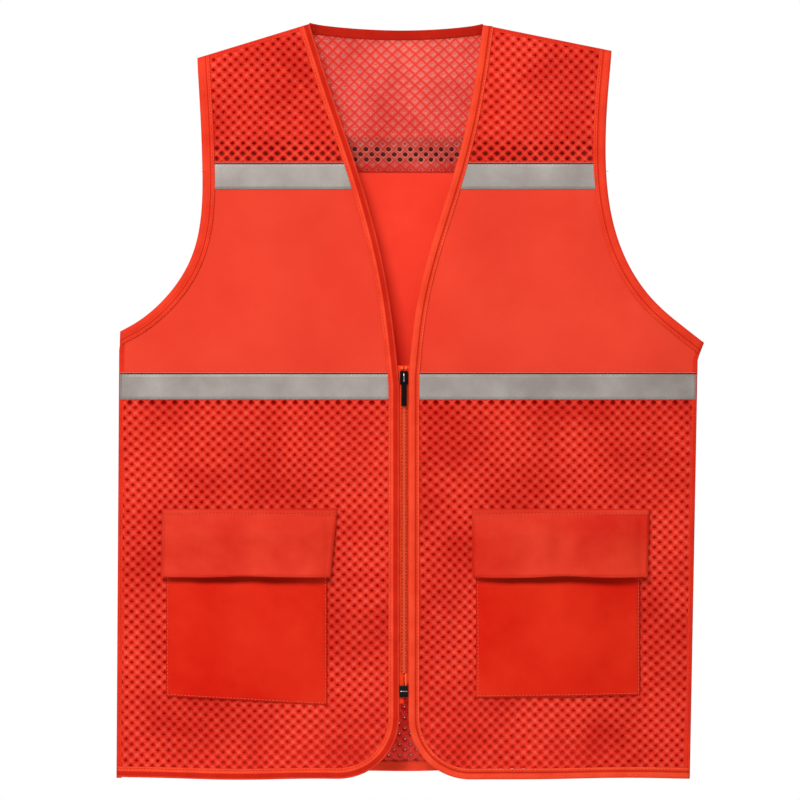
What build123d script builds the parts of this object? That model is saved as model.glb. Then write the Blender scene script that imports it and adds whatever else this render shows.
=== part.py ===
from build123d import *
from math import hypot
import os

# Mesh safety vest, hanging flat. Millimetres, +Z up, the front faces -Y and the wearer's right is
# at -X. The origin is midway between the two neck points, where a hanger carries the vest.

# Body skins: y = bulge(z) * (1 - (x / SKIN_W)^2), the front towards -Y and the back towards +Y
SKIN_W = 296.0
SKIN_SPAN = 292.0
CORE_SPAN = 286.0
FRONT_TOP = 8.0
FRONT_HEM = 22.0
BACK_TOP = 6.0
BACK_HEM = 18.0
FRONT, BACK = -1, 1

# Cloth layers, counted outwards from the cloth's inner face
CLOTH = 0.8
BINDING_IN = -0.2
BINDING_OUT = 1.4
TAPE_IN = 0.9
TAPE_OUT = 1.3
GAP = 0.05

# Heights of seams, tapes and hems
HEM_Z = -724.0
BACK_HEM_Z = -718.0
YOKE_Z = -145.0
BACK_YOKE_Z = -137.0
WAIST_Z = -347.0
CHEST_TAPE = (-132.5, -157.5)
WAIST_TAPE = (-334.6, -359.6)
BACK_CHEST_TAPE = (-107.0, -132.0)
BACK_WAIST_TAPE = (-337.0, -362.0)
BINDING = 10.5
ARM_BINDING = 11.5
SEAM = 4.0

# Front edge, its lower corner, and the line along which the edge folds back
EDGE_X = 4.4
CORNER_R = 60.0
FOLD_TOP = (45.0, -139.0)
FOLD_HEM = (62.0, HEM_Z)
FOLD_GAP = 2.4

# Pockets
POCKET_DEPTH = 8.0
POCKET_MOUTH_Z = -493.0
POCKET_BASE_Z = -650.0
FLAP_TOP_Z = -465.0
FLAP_BEND_Z = -489.0
FLAP_HEM_Z = -530.0
FLAP_HINGE_Z = -468.0
PATCH = (50.0, 17.0, 0.4)
PATCH_Z = -514.0

# Zip fastener
COIL_IN = 0.7
COIL_OUT = 3.0
COIL_PITCH = 3.0
COIL_TOP = -331.0
COIL_BASE = -622.0
ZIP_TAPE = (0.7, 16.0)
ZIP_TAPE_LAYER = (-0.9, -0.3)
COIL_LAYER = (-0.25, 1.35)
ZIP_TAPE_TOP = -327.0
ZIP_TAPE_BASE = -652.0
PIN_TAPE_BASE = -633.0
SLIDER_TOP = -332.0
SLIDER_LENGTH = 14.0
SLIDER_W = 7.8
SLIDER_PLATES = ((1.65, 2.6), (-2.2, -1.2))
FLANGE = 0.7
FLANGE_LAYER = (0.2, 1.7)
POST_HALF = 0.3
POST_LENGTH = 3.0
BOX_Z = (-634.0, -645.0)
PULL_PIVOT_Z = -338.0
PULL_PIVOT_OUT = 3.6
PULL_END = -366.0
PULL_W = 5.2
PULL_THICK = 1.0
EYE_LENGTH = 7.0
CROWN_HALF = 0.7
CROWN_REACH = 4.5
CROWN_WALL = 1.2
CROWN_OUT = 5.4

# Each half's outline, as distances from the middle. The halves hang slightly unevenly.
RIGHT = {
    "name": "right",
    "sign": -1,
    "vee": [(91.0, 2.0), (71.0, -61.0), (47.0, -132.0), (17.0, -246.0), (EDGE_X, -345.0)],
    "shoulder": [(91.0, 2.0), (199.0, -31.0)],
    "armhole": [(199.0, -31.0), (194.0, -130.0), (206.0, -226.0), (236.0, -268.0), (258.0, -285.5),
                (271.5, -293.0)],
    "side": [(272.0, -294.0), (273.9, -312.0), (276.5, HEM_Z)],
    "bag": (73.5, 228.5),
    "flap": (64.0, 232.0),
}
LEFT = {
    "name": "left",
    "sign": 1,
    "vee": [(76.0, 1.0), (67.0, -61.0), (48.0, -142.0), (13.0, -265.0), (EDGE_X, -338.0)],
    "shoulder": [(76.0, 1.0), (200.0, -24.0)],
    "armhole": [(200.0, -24.0), (194.0, -120.0), (206.0, -206.0), (240.0, -264.0), (268.0, -288.5),
                (287.5, -303.5)],
    "side": [(288.3, -307.0), (282.5, -322.0), (275.0, HEM_Z)],
    "bag": (69.0, 227.0),
    "flap": (65.0, 236.0),
}
SIDES = (RIGHT, LEFT)
REACH = 20.0


def bulge(skin, z):
    """How far the skin stands from the middle plane at x = 0, at height z."""
    top, hem = (FRONT_TOP, FRONT_HEM) if skin == FRONT else (BACK_TOP, BACK_HEM)
    return top + (hem - top) * z / HEM_Z


def skin_curve(skin, x0, x1, z, out):
    """The skin's parabola at height z from x0 to x1, moved outwards."""
    def place(product):
        return skin * (bulge(skin, z) * (1 - product / SKIN_W ** 2) + out)
    return Bezier(
        (x0, place(x0 * x0), z),
        ((x0 + x1) / 2, place(x0 * x1), z),
        (x1, place(x1 * x1), z),
    )


def section(near, far):
    """The face between two curves that run the same way."""
    return make_face([near, far, Line(near @ 0, far @ 0), Line(near @ 1, far @ 1)])


def strip(skin, x0, x1, levels):
    """A cloth layer between x0 and x1, ruled through levels of (z, inner, outer)."""
    faces = []
    for z, inner, outer in levels:
        near = skin_curve(skin, x0, x1, z, inner)
        far = skin_curve(skin, x0, x1, z, outer)
        faces.append(section(near, far))
    return loft(faces, ruled=True)


def layer(skin, inner, outer):
    """A cloth layer over the whole skin."""
    levels = [(REACH, inner, outer), (HEM_Z - REACH, inner, outer)]
    return strip(skin, -SKIN_SPAN, SKIN_SPAN, levels)


def core():
    """The space between the front and back bindings."""
    inner = BINDING_IN - GAP
    faces = []
    for z in (REACH, HEM_Z - REACH):
        front = skin_curve(FRONT, -CORE_SPAN, CORE_SPAN, z, inner)
        back = skin_curve(BACK, -CORE_SPAN, CORE_SPAN, z, inner)
        faces.append(section(front, back))
    return loft(faces, ruled=True)


def prism(face):
    """An outline in X and Z, drawn through the whole thickness of the vest."""
    return extrude(Plane.XZ * face, 100, both=True)


def band(x0, x1, top, base):
    """A rectangle between two x and two heights."""
    return Pos((x0 + x1) / 2, (top + base) / 2) * Rectangle(abs(x1 - x0), abs(top - base))


def moved(points, distance):
    """The points moved sideways, each square to the line through its neighbours."""
    result = []
    for i, (x, z) in enumerate(points):
        x0, z0 = points[max(i - 1, 0)]
        x1, z1 = points[min(i + 1, len(points) - 1)]
        run = hypot(x1 - x0, z1 - z0)
        result.append((x - (z1 - z0) * distance / run, z + (x1 - x0) * distance / run))
    return result


def beyond(end, before):
    """A point REACH past the end, in line with the point before it."""
    run = hypot(end[0] - before[0], end[1] - before[1])
    return (end[0] + (end[0] - before[0]) * REACH / run, end[1] + (end[1] - before[1]) * REACH / run)


def half_limits(side):
    """Everything under one shoulder line and inside one side seam."""
    neck, tip = side["shoulder"]
    armpit, _, hem = side["side"]
    past_neck = beyond(neck, tip)
    past_tip = beyond(tip, neck)
    under = make_face(Polyline(past_neck, past_tip, (400, past_tip[1]), (400, -900), (-100, -900),
                               (-100, past_neck[1]), past_neck))
    inside = make_face(Polyline((-100, 100), (armpit[0], 100), *side["side"], (hem[0], -900),
                                (-100, -900), (-100, 100)))
    return under & inside


def armhole_curve(side, inset):
    """The armhole edge from above the shoulder to beyond the side seam."""
    points = moved(side["armhole"], -inset)
    return Spline(beyond(points[0], points[1]), *points, beyond(points[-1], points[-2]))


def front_outline(side, edge=0.0, arm=0.0):
    """One front, with its free edge or its armhole edge moved into the cloth."""
    x = EDGE_X + edge
    points = moved(side["vee"], edge)
    points[-1] = (x, side["vee"][-1][1])
    vee = Spline(beyond(points[0], points[1]), *points)
    drop = Line(vee @ 1, (x, HEM_Z + CORNER_R))
    corner = TangentArc(drop @ 1, (EDGE_X + CORNER_R, HEM_Z + edge), tangent=(0, -1))
    hem = Line(corner @ 1, (400, HEM_Z + edge))
    arm_edge = armhole_curve(side, arm)
    rise = Line(hem @ 1, (400, (arm_edge @ 1).Y))
    join = Line(rise @ 1, arm_edge @ 1)
    top = Line(arm_edge @ 0, vee @ 0)
    return make_face([vee, drop, corner, hem, rise, join, arm_edge, top]) & half_limits(side)


def back_half(side, arm=0.0):
    """One half of the back, from the middle to the side seam."""
    arm_edge = armhole_curve(side, arm)
    start = arm_edge @ 0
    end = arm_edge @ 1
    rest = Polyline(end, (400, end.Y), (400, BACK_HEM_Z), (-20, BACK_HEM_Z), (-20, 60),
                    (start.X, 60), start)
    return make_face([arm_edge, *rest.edges()]) & half_limits(side)


def back_outline(arm=0.0):
    """The whole back below the shoulder lines."""
    right = back_half(RIGHT, arm) & band(0, 400, 100, -900)
    left = back_half(LEFT, arm) & band(0, 400, 100, -900)
    return right.mirror(Plane.YZ) + left


def under_neck(inset):
    """Everything below the back neck edge, which dips a little in the middle."""
    right = -RIGHT["shoulder"][0][0] - REACH
    left = LEFT["shoulder"][0][0] + REACH
    arc = ThreePointArc((right, 4 - inset), ((right + left) / 2, -5 - inset), (left, 4 - inset))
    rest = Polyline(arc @ 1, (400, 4 - inset), (400, -900), (-400, -900), (-400, 4 - inset), arc @ 0)
    return make_face([arc, *rest.edges()])


def fold_x(z):
    """How far out the fold line of a front is at height z."""
    share = (z - FOLD_TOP[1]) / (FOLD_HEM[1] - FOLD_TOP[1])
    return FOLD_TOP[0] + (FOLD_HEM[0] - FOLD_TOP[0]) * share


def inboard(gap):
    """The region between the middle and the fold line, widened by gap."""
    top = FOLD_TOP[1] + 8
    base = HEM_Z - REACH
    return make_face(Polyline((-30, top), (fold_x(top) + gap, top), (fold_x(base) + gap, base),
                              (-30, base), (-30, top)))


def save(side, name, shape):
    """Write one node of a side, mirrored when it is the wearer's right."""
    solid = shape if side["sign"] > 0 else shape.mirror(Plane.YZ)
    export_step(solid, f"parts/{side['name']}_{name}.step")


def split_save(side, fixed_name, edge_name, shape):
    """Write a piece of cloth as its fixed part and the part that folds back."""
    save(side, fixed_name, shape - prism(inboard(FOLD_GAP)))
    save(side, edge_name, shape & prism(inboard(0)))


def front_panels(side, cloth):
    """The mesh yoke, the plain chest and the mesh lower panel of one front."""
    region = front_outline(side, BINDING + GAP, ARM_BINDING + GAP)
    save(side, "yoke_mesh", cloth & prism(region & band(-50, 400, 60, YOKE_Z + GAP)))
    chest = cloth & prism(region & band(-50, 400, YOKE_Z - GAP, WAIST_Z + GAP))
    split_save(side, "chest_panel", "chest_panel_edge", chest)
    lower = cloth & prism(region & band(-50, 400, WAIST_Z - GAP, -900))
    split_save(side, "lower_mesh", "lower_mesh_edge", lower)


def front_tapes(side, tape):
    """The reflective tapes across one front."""
    region = front_outline(side, BINDING + 2 * GAP, ARM_BINDING + 2 * GAP)
    save(side, "chest_tape", tape & prism(region & band(-50, 400, *CHEST_TAPE)))
    waist = tape & prism(region & band(-50, 400, *WAIST_TAPE))
    split_save(side, "waist_tape", "waist_tape_end", waist)


def edge_bindings(side, bound):
    """The binding down the neck edge, the front edge and along the hem of one front."""
    region = front_outline(side) - front_outline(side, BINDING)
    whole = bound & prism(region)
    fixed = whole - prism(inboard(FOLD_GAP))
    split_z = -400
    save(side, "neck_edge_binding", fixed & prism(band(-50, 400, 60, split_z)))
    save(side, "hem_binding", fixed & prism(band(-50, 400, split_z, -900)))
    save(side, "front_edge_binding", whole & prism(inboard(0)))


def armhole_binding(side, bound_front, bound_back):
    """The binding round one armhole: a front band and a back band."""
    front = bound_front & prism(front_outline(side) - front_outline(side, 0, ARM_BINDING))
    back = bound_back & prism(back_half(side) - back_half(side, ARM_BINDING))
    save(side, "armhole_binding", Compound(front.solids() + back.solids()))


def seams(side, between):
    """The closed shoulder seam and side seam, between the front and back cloths."""
    neck, tip = side["shoulder"]
    shoulder = make_face(Polyline(neck, tip, (tip[0], tip[1] - SEAM), (neck[0], neck[1] - SEAM), neck))
    save(side, "shoulder_seam", between & prism(shoulder))
    _, high, hem = side["side"]
    low = (hem[0], BACK_HEM_Z)
    edge = make_face(Polyline(high, low, (low[0] - SEAM, low[1]), (high[0] - SEAM, high[1]), high))
    save(side, "side_seam", between & prism(edge))


def pocket(side):
    """The patch pocket: a pouch open at the top, under a hinged flap."""
    x0, x1 = side["bag"]
    rear = CLOTH + GAP
    outer = rear + POCKET_DEPTH + CLOTH
    pouch = strip(FRONT, x0, x1, [(POCKET_MOUTH_Z, rear, outer), (POCKET_BASE_Z, rear, outer)])
    hollow = strip(FRONT, x0 + CLOTH, x1 - CLOTH,
                   [(POCKET_MOUTH_Z + 1, rear - 1, outer - CLOTH),
                    (POCKET_BASE_Z + CLOTH, rear - 1, outer - CLOTH)])
    save(side, "pocket_bag", pouch - hollow)

    middle = (x0 + x1) / 2
    width, height, thick = PATCH
    loop = outer + GAP
    hook = loop + thick + GAP
    flap = hook + thick + GAP
    top = PATCH_Z + height / 2
    base = PATCH_Z - height / 2
    span = (middle - width / 2, middle + width / 2)
    save(side, "pocket_loop_patch", strip(FRONT, *span, [(top, loop, loop + thick),
                                                         (base, loop, loop + thick)]))
    save(side, "flap_hook_patch", strip(FRONT, *span, [(top, hook, hook + thick),
                                                       (base, hook, hook + thick)]))

    f0, f1 = side["flap"]
    sewn = CLOTH + GAP + 1.7
    save(side, "flap_seam", strip(FRONT, f0, f1, [(FLAP_TOP_Z, CLOTH + GAP, sewn),
                                                  (FLAP_HINGE_Z - 4, CLOTH + GAP, sewn)]))
    lifted = sewn + 0.5
    save(side, "pocket_flap", strip(FRONT, f0, f1, [(FLAP_HINGE_Z - 0.5, lifted, lifted + CLOTH),
                                                    (FLAP_BEND_Z, flap, flap + CLOTH),
                                                    (FLAP_HEM_Z, flap, flap + CLOTH)]))


def zip_frame():
    """The plane of the front's middle line: x across, y up the coil, z outwards."""
    slope = (FRONT_HEM - FRONT_TOP) / -HEM_Z
    return Plane(origin=(0, -FRONT_TOP, 0), x_dir=(1, 0, 0), z_dir=(0, -1, slope))


def block(x, y, out):
    """A box in the zip's plane, from ranges across, up and outwards."""
    size = (abs(x[1] - x[0]), abs(y[1] - y[0]), abs(out[1] - out[0]))
    return zip_frame() * Pos(sum(x) / 2, sum(y) / 2, sum(out) / 2) * Box(*size)


def zip_half(side):
    """The woven tape, the coil and the top stop of one half of the zip."""
    base = ZIP_TAPE_BASE if side is RIGHT else PIN_TAPE_BASE
    tape = block(ZIP_TAPE, (ZIP_TAPE_TOP, base), ZIP_TAPE_LAYER)
    save(side, "zip_tape", tape)

    root = (COIL_IN + COIL_OUT) / 2
    points = [(COIL_OUT, COIL_TOP), (COIL_OUT, COIL_BASE)]
    y = COIL_BASE
    while y < COIL_TOP - COIL_PITCH:
        points += [(root, y), (root, y + 1), (COIL_IN, y + 1), (COIL_IN, y + 2), (root, y + 2)]
        y += COIL_PITCH
    points += [(root, COIL_TOP), points[0]]
    coil_low, coil_high = COIL_LAYER
    profile = Pos(0, 0, coil_low) * make_face(Polyline(*points))
    save(side, "zip_coil", extrude(zip_frame() * profile, coil_high - coil_low))

    stop = block((COIL_IN, COIL_OUT), (COIL_TOP + 0.3, COIL_TOP + 2.8), (-0.25, 1.6))
    save(side, "top_stop", stop)


def insertion_pin():
    """The pin at the foot of the wearer's left half."""
    pin = block((0.8, 2.6), (COIL_BASE - 0.3, BOX_Z[1] + 1), (-0.2, 1.3))
    export_step(pin, "parts/insertion_pin.step")


def retainer_box():
    """The box at the foot of the wearer's right half, open where the pin leaves it."""
    shell = block((-4.2, 3.6), BOX_Z, (-1.9, 2.3))
    slot = block((0.5, 5.0), (BOX_Z[0] + 1, BOX_Z[1] + 0.7), (-1.1, 1.6))
    own_tape = block((-5.0, -0.4), (BOX_Z[0] + 1, BOX_Z[1] - 1), (-1.0, -0.2))
    export_step(shell - slot - own_tape, "parts/retainer_box.step")


def slider():
    """Two plates joined by a thin post, with side flanges and a crown for the pull."""
    half = SLIDER_W / 2
    top = SLIDER_TOP
    base = SLIDER_TOP - SLIDER_LENGTH
    (_, face), (rear, _) = SLIDER_PLATES
    body = block((-half, half), (top, base), SLIDER_PLATES[0])
    body += block((-half, half), (top, base), SLIDER_PLATES[1])
    body += block((-POST_HALF, POST_HALF), (top, top - POST_LENGTH), (rear + 0.7, face - 0.6))
    for flange in ((-half, -half + FLANGE), (half - FLANGE, half)):
        body += block(flange, (top, base), FLANGE_LAYER)
    crown_top = PULL_PIVOT_Z + CROWN_REACH
    crown_base = PULL_PIVOT_Z - CROWN_REACH - 1
    crown = block((-CROWN_HALF, CROWN_HALF), (crown_top, crown_base), (face - 0.1, CROWN_OUT))
    window = block((-2, 2), (crown_top - CROWN_WALL, crown_base + CROWN_WALL), (face, CROWN_OUT - 0.9))
    export_step(body + (crown - window), "parts/slider_body.step")


def slider_pull():
    """The pull tab, hung by its cross bar under the slider's crown."""
    half = PULL_W / 2
    thick = (PULL_PIVOT_OUT - PULL_THICK / 2, PULL_PIVOT_OUT + PULL_THICK / 2)
    through = (0, CROWN_OUT)
    eye_half = CROWN_HALF + 0.4
    blank = block((-half, half), (PULL_PIVOT_Z, PULL_END), thick)
    eye = block((-eye_half, eye_half), (PULL_PIVOT_Z + 1, PULL_PIVOT_Z - EYE_LENGTH), through)
    bar = Cylinder(PULL_THICK / 2, PULL_W)
    bar = zip_frame() * Pos(0, PULL_PIVOT_Z, PULL_PIVOT_OUT) * Rot(0, 90, 0) * bar
    export_step(blank - eye + bar, "parts/slider_pull.step")


def back():
    """The back: mesh yoke, plain middle, mesh below, two tapes and two bindings."""
    cloth = layer(BACK, 0, CLOTH)
    region = back_outline(ARM_BINDING + GAP)
    panels = {
        "back_yoke_mesh": (60, BACK_YOKE_Z + GAP),
        "back_chest_panel": (BACK_YOKE_Z - GAP, WAIST_Z + GAP),
        "back_lower_mesh": (WAIST_Z - GAP, BACK_HEM_Z + BINDING + GAP),
    }
    covered = region & under_neck(BINDING + GAP)
    for name, (top, base) in panels.items():
        export_step(cloth & prism(covered & band(-400, 400, top, base)), f"parts/{name}.step")
    tape = layer(BACK, TAPE_IN, TAPE_OUT)
    for name, heights in (("chest", BACK_CHEST_TAPE), ("waist", BACK_WAIST_TAPE)):
        piece = tape & prism(region & band(-400, 400, *heights))
        export_step(piece, f"parts/back_{name}_tape.step")
    bound = layer(BACK, BINDING_IN, BINDING_OUT)
    neck = back_outline() & (under_neck(0) - under_neck(BINDING))
    export_step(bound & prism(neck), "parts/back_neck_binding.step")
    hem = back_outline() & band(-400, 400, BACK_HEM_Z + BINDING, BACK_HEM_Z)
    export_step(bound & prism(hem), "parts/back_hem_binding.step")


os.makedirs("parts", exist_ok=True)
front_cloth = layer(FRONT, 0, CLOTH)
front_tape = layer(FRONT, TAPE_IN, TAPE_OUT)
front_bound = layer(FRONT, BINDING_IN, BINDING_OUT)
back_bound = layer(BACK, BINDING_IN, BINDING_OUT)
inside = core()
for half in SIDES:
    front_panels(half, front_cloth)
    front_tapes(half, front_tape)
    edge_bindings(half, front_bound)
    armhole_binding(half, front_bound, back_bound)
    seams(half, inside)
    pocket(half)
    zip_half(half)
back()
insertion_pin()
retainer_box()
slider()
slider_pull()
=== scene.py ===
import math

import bmesh
import bpy
import numpy as np
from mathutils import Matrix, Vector


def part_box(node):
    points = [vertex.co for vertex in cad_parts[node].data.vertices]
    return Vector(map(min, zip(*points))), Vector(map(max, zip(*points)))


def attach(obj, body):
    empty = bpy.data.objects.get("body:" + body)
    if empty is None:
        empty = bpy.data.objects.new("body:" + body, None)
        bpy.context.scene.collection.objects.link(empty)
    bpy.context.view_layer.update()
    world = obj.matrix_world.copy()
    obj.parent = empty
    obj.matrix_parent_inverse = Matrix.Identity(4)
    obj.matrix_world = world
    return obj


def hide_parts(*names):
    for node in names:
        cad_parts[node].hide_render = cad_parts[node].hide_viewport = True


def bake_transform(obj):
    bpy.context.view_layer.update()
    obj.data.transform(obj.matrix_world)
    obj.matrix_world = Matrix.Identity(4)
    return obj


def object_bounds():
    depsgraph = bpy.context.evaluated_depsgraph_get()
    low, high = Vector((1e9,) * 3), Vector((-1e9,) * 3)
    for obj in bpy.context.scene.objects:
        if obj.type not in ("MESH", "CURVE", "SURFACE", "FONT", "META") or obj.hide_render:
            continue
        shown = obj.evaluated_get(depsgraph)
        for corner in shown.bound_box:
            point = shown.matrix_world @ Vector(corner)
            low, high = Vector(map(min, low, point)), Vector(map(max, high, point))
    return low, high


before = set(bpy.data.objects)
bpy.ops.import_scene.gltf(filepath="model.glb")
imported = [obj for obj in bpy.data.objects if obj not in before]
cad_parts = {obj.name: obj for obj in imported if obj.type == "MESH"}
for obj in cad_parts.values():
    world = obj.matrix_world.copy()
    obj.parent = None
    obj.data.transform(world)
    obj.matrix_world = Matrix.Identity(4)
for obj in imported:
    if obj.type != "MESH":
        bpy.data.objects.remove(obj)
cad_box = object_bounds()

# Flat coordinates are (x, z) in millimetres in the vest's own frame: +Z up, front towards -Y, the
# wearer's right at -X. A height n over a cloth is measured outwards from the cloth's middle.
MM = 0.001
FRONT, BACK = -1, 1
UP = (0.0, 1.0)
SIDE_NAMES = ("right", "left")
SIGN = {"right": -1, "left": 1}


def span(node, axis):
    """The lowest and highest place of a CAD node along one axis, in millimetres."""
    low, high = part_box(node)
    return low[axis] / MM, high[axis] / MM


# ---- Driving dimensions, as in the CAD model ------------------------------------------------
SKIN_W = 296.0
LENGTH = 724.0
BULGE_TOP = {FRONT: 8.0, BACK: 6.0}
BULGE_HEM = {FRONT: 22.0, BACK: 18.0}
HEM_Z = span("right_hem_binding", 2)[0]
BACK_HEM_Z = span("back_hem_binding", 2)[0]
CHEST_TAPE = span("right_chest_tape", 2)
WAIST_TAPE = span("right_waist_tape", 2)
BACK_CHEST_TAPE = span("back_chest_tape", 2)
BACK_WAIST_TAPE = span("back_waist_tape", 2)
YOKE_Z = span("right_chest_panel", 2)[1]
WAIST_Z = span("right_chest_panel", 2)[0]
BACK_YOKE_Z = span("back_chest_panel", 2)[1]
EDGE_X = 4.4
CORNER_R = 60.0
BINDING = 10.5
ARM_BINDING = 12.0
FOLD_TOP = (45.0, -139.0)
FOLD_HEM = (62.0, -LENGTH)
HALVES = {
    "right": {
        "vee": [(91.0, 2.0), (71.0, -61.0), (47.0, -132.0), (17.0, -246.0), (EDGE_X, -345.0)],
        "shoulder": [(91.0, 2.0), (199.0, -31.0)],
        "armhole": [(199.0, -31.0), (194.0, -130.0), (206.0, -226.0), (236.0, -268.0), (258.0, -285.5),
                    (271.5, -293.0)],
        "side": [(272.0, -294.0), (273.9, -312.0), (276.5, -LENGTH)],
    },
    "left": {
        "vee": [(76.0, 1.0), (67.0, -61.0), (48.0, -142.0), (13.0, -265.0), (EDGE_X, -338.0)],
        "shoulder": [(76.0, 1.0), (200.0, -24.0)],
        "armhole": [(200.0, -24.0), (194.0, -120.0), (206.0, -206.0), (240.0, -264.0), (268.0, -288.5),
                    (287.5, -303.5)],
        "side": [(288.3, -307.0), (282.5, -322.0), (275.0, -LENGTH)],
    },
}

# Cloths: their distance from the fold between front and back, half their thickness, the heights of
# a tape's two faces, how wide a seam's rounding is, and the spacing of grid points
CLOTH_IN = 0.4
CLOTH_HALF = 0.28
TAPE_LAYER = (0.45, 0.8)
SEAM_ROUND = 13.0
STEP = 3.5

# Mesh cloth: painted highlight shares, the two heights where a row of holes runs straight, hole radii and the
# cells.
# Beside a seam the holes stand open: how far from it, and how large.
KNIT_HIGHLIGHTS = (1.0, 0.2, 0.12, 0.0)
YOKE_ROW = CHEST_TAPE[1] + 4.6
LOWER_ROW = WAIST_TAPE[0] - 3.0
HOLE = 1.05
CLOSED_HOLE = 0.25
SOLID_EDGE = 3.1
YOKE_OPEN = (15, 1.9)
LOWER_OPEN = (8, 2.0)
NET_INSET = (4.6, 5.2)
CELL_X = 10.5
CELL_Z = 10.0
STRAND = 0.42
RIM = 0.34


# ---- The vest's surfaces --------------------------------------------------------------------
def waves(seed, count, low, high, depth):
    """A smooth height field of a few crossing sine waves, between two wavelengths in mm."""
    rng = np.random.default_rng(seed)
    turn = rng.uniform(0, math.pi, count)
    length = rng.uniform(low, high, count)
    phase = rng.uniform(0, 2 * math.pi, count)
    size = rng.uniform(0.5, 1.0, count)
    size *= depth / size.sum()

    def field(x, z):
        total = 0.0
        for a, wave, p, s in zip(turn, length, phase, size):
            total = total + s * np.sin((x * math.cos(a) + z * math.sin(a)) * 2 * math.pi / wave + p)
        return total
    return field


DRAPE = {FRONT: waves(11, 9, 70, 210, 5.0), BACK: waves(12, 9, 80, 240, 6.0)}
WARP_X = waves(13, 7, 90, 260, 3.6)
WARP_Z = waves(14, 7, 90, 260, 3.0)
HEM_WAVE = {FRONT: waves(17, 5, 120, 330, 2.6), BACK: waves(18, 5, 120, 330, 2.6)}


def segment_distance(x, z, a, b):
    """The distance of flat points from the straight line between a and b."""
    dx, dz = b[0] - a[0], b[1] - a[1]
    t = np.clip(((x - a[0]) * dx + (z - a[1]) * dz) / (dx * dx + dz * dz), 0, 1)
    return np.hypot(x - a[0] - t * dx, z - a[1] - t * dz)


def rounding(x, z):
    """From 0 on a shoulder or side seam, where front and back meet, to 1 away from it."""
    result = np.ones_like(x)
    for name in SIDE_NAMES:
        here = x * SIGN[name] >= 0
        for run in (HALVES[name]["shoulder"], HALVES[name]["side"]):
            d = np.min([segment_distance(np.abs(x), z, a, b) for a, b in zip(run, run[1:])], axis=0)
            result = np.where(here, result * np.sin(np.clip(d / SEAM_ROUND, 0, 1) * math.pi / 2), result)
    return result


def height(skin, x, z):
    """y of a cloth's middle, in millimetres."""
    share = z / -LENGTH
    bulge = BULGE_TOP[skin] + (BULGE_HEM[skin] - BULGE_TOP[skin]) * share
    calm = np.clip((np.abs(x) - 12) / 60, 0, 1) if skin == FRONT else 1.0
    lift = bulge * (1 - (x / SKIN_W) ** 2) + DRAPE[skin](x, z) * calm
    return skin * (lift * rounding(x, z) + CLOTH_IN)


def lay(skin, x, z, n=0.0):
    """Points n over the middle of a cloth, shaped (..., 3), in millimetres."""
    x, z, n = np.broadcast_arrays(np.asarray(x, float), np.asarray(z, float), np.asarray(n, float))
    e = 0.5
    y = height(skin, x, z)
    slope_x = (height(skin, x + e, z) - height(skin, x - e, z)) / (2 * e)
    slope_z = (height(skin, x, z + e) - height(skin, x, z - e)) / (2 * e)
    normal = np.stack([-skin * slope_x, np.full_like(x, skin), -skin * slope_z], axis=-1)
    normal /= np.linalg.norm(normal, axis=-1, keepdims=True)
    sag = HEM_WAVE[skin](x, 0 * z) * np.clip((-640 - z) / 80, 0, 1) ** 2
    return np.stack([x, y, z + sag], axis=-1) + normal * n[..., None]


def lay_path(skin, path, n, sign=1):
    """Points n over the middle of a cloth along a flat path."""
    return lay(skin, path[:, 0] * sign, path[:, 1], n)


# ---- Outlines -------------------------------------------------------------------------------
def strides(path):
    """The length of each step of a flat path."""
    return np.hypot(*np.diff(path, axis=0).T)


def travelled(path):
    """The length of a flat path up to each of its points."""
    return np.concatenate([[0], np.cumsum(strides(path))])


def spline(points, step=STEP):
    """Evenly spaced points on the natural cubic curve through a few points."""
    p = np.array(points, float)
    t = travelled(p)
    h = np.diff(t)
    matrix = np.eye(len(p))
    target = np.zeros_like(p)
    for i in range(1, len(p) - 1):
        matrix[i, i - 1:i + 2] = h[i - 1], 2 * (h[i - 1] + h[i]), h[i]
        target[i] = 6 * ((p[i + 1] - p[i]) / h[i] - (p[i] - p[i - 1]) / h[i - 1])
    bend = np.linalg.solve(matrix, target)
    s = np.linspace(0, t[-1], max(2, int(t[-1] / step) + 1))
    k = np.clip(np.searchsorted(t, s, side="right") - 1, 0, len(h) - 1)
    a, b = ((t[k + 1] - s) / h[k])[:, None], ((s - t[k]) / h[k])[:, None]
    hk = h[k][:, None]
    curve = a * p[k] + b * p[k + 1]
    return curve + ((a ** 3 - a) * bend[k] + (b ** 3 - b) * bend[k + 1]) * hk ** 2 / 6


def line(a, b, step=STEP):
    """Evenly spaced points on a straight run."""
    count = max(2, int(math.dist(a, b) / step) + 1)
    return np.linspace(a, b, count)


def joined(*runs):
    """Runs end to end, without their doubled points."""
    return np.concatenate([runs[0]] + [run[1:] for run in runs[1:]])


def bent(corners, step):
    """Evenly spaced points on straight runs from corner to corner."""
    return joined(*[line(a, b, step) for a, b in zip(corners, corners[1:])])


def sideways(path):
    """The unit direction to the left of travel at each point of a flat path."""
    along = np.gradient(path, axis=0)
    along /= np.linalg.norm(along, axis=1, keepdims=True)
    return np.stack([-along[:, 1], along[:, 0]], axis=1)


def edge_path(name):
    """The free edge of a front: down the neck and the zip, round the corner, along the hem."""
    half = HALVES[name]
    vee = spline(half["vee"])
    drop = line(half["vee"][-1], (EDGE_X, HEM_Z + CORNER_R))
    turn = np.linspace(math.pi, 1.5 * math.pi, 27)
    centre = (EDGE_X + CORNER_R, HEM_Z + CORNER_R)
    corner = np.stack([centre[0] + CORNER_R * np.cos(turn), centre[1] + CORNER_R * np.sin(turn)], axis=1)
    hem = line((centre[0], HEM_Z), (half["side"][-1][0], HEM_Z))
    return joined(vee, drop, corner, hem)


def arm_path(name):
    """The armhole edge from the armpit up to the shoulder, so the cloth is on its left."""
    return spline(HALVES[name]["armhole"])[::-1]


def inset(path, w):
    """A path moved w into the cloth on its left."""
    return path + sideways(path) * w


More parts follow.
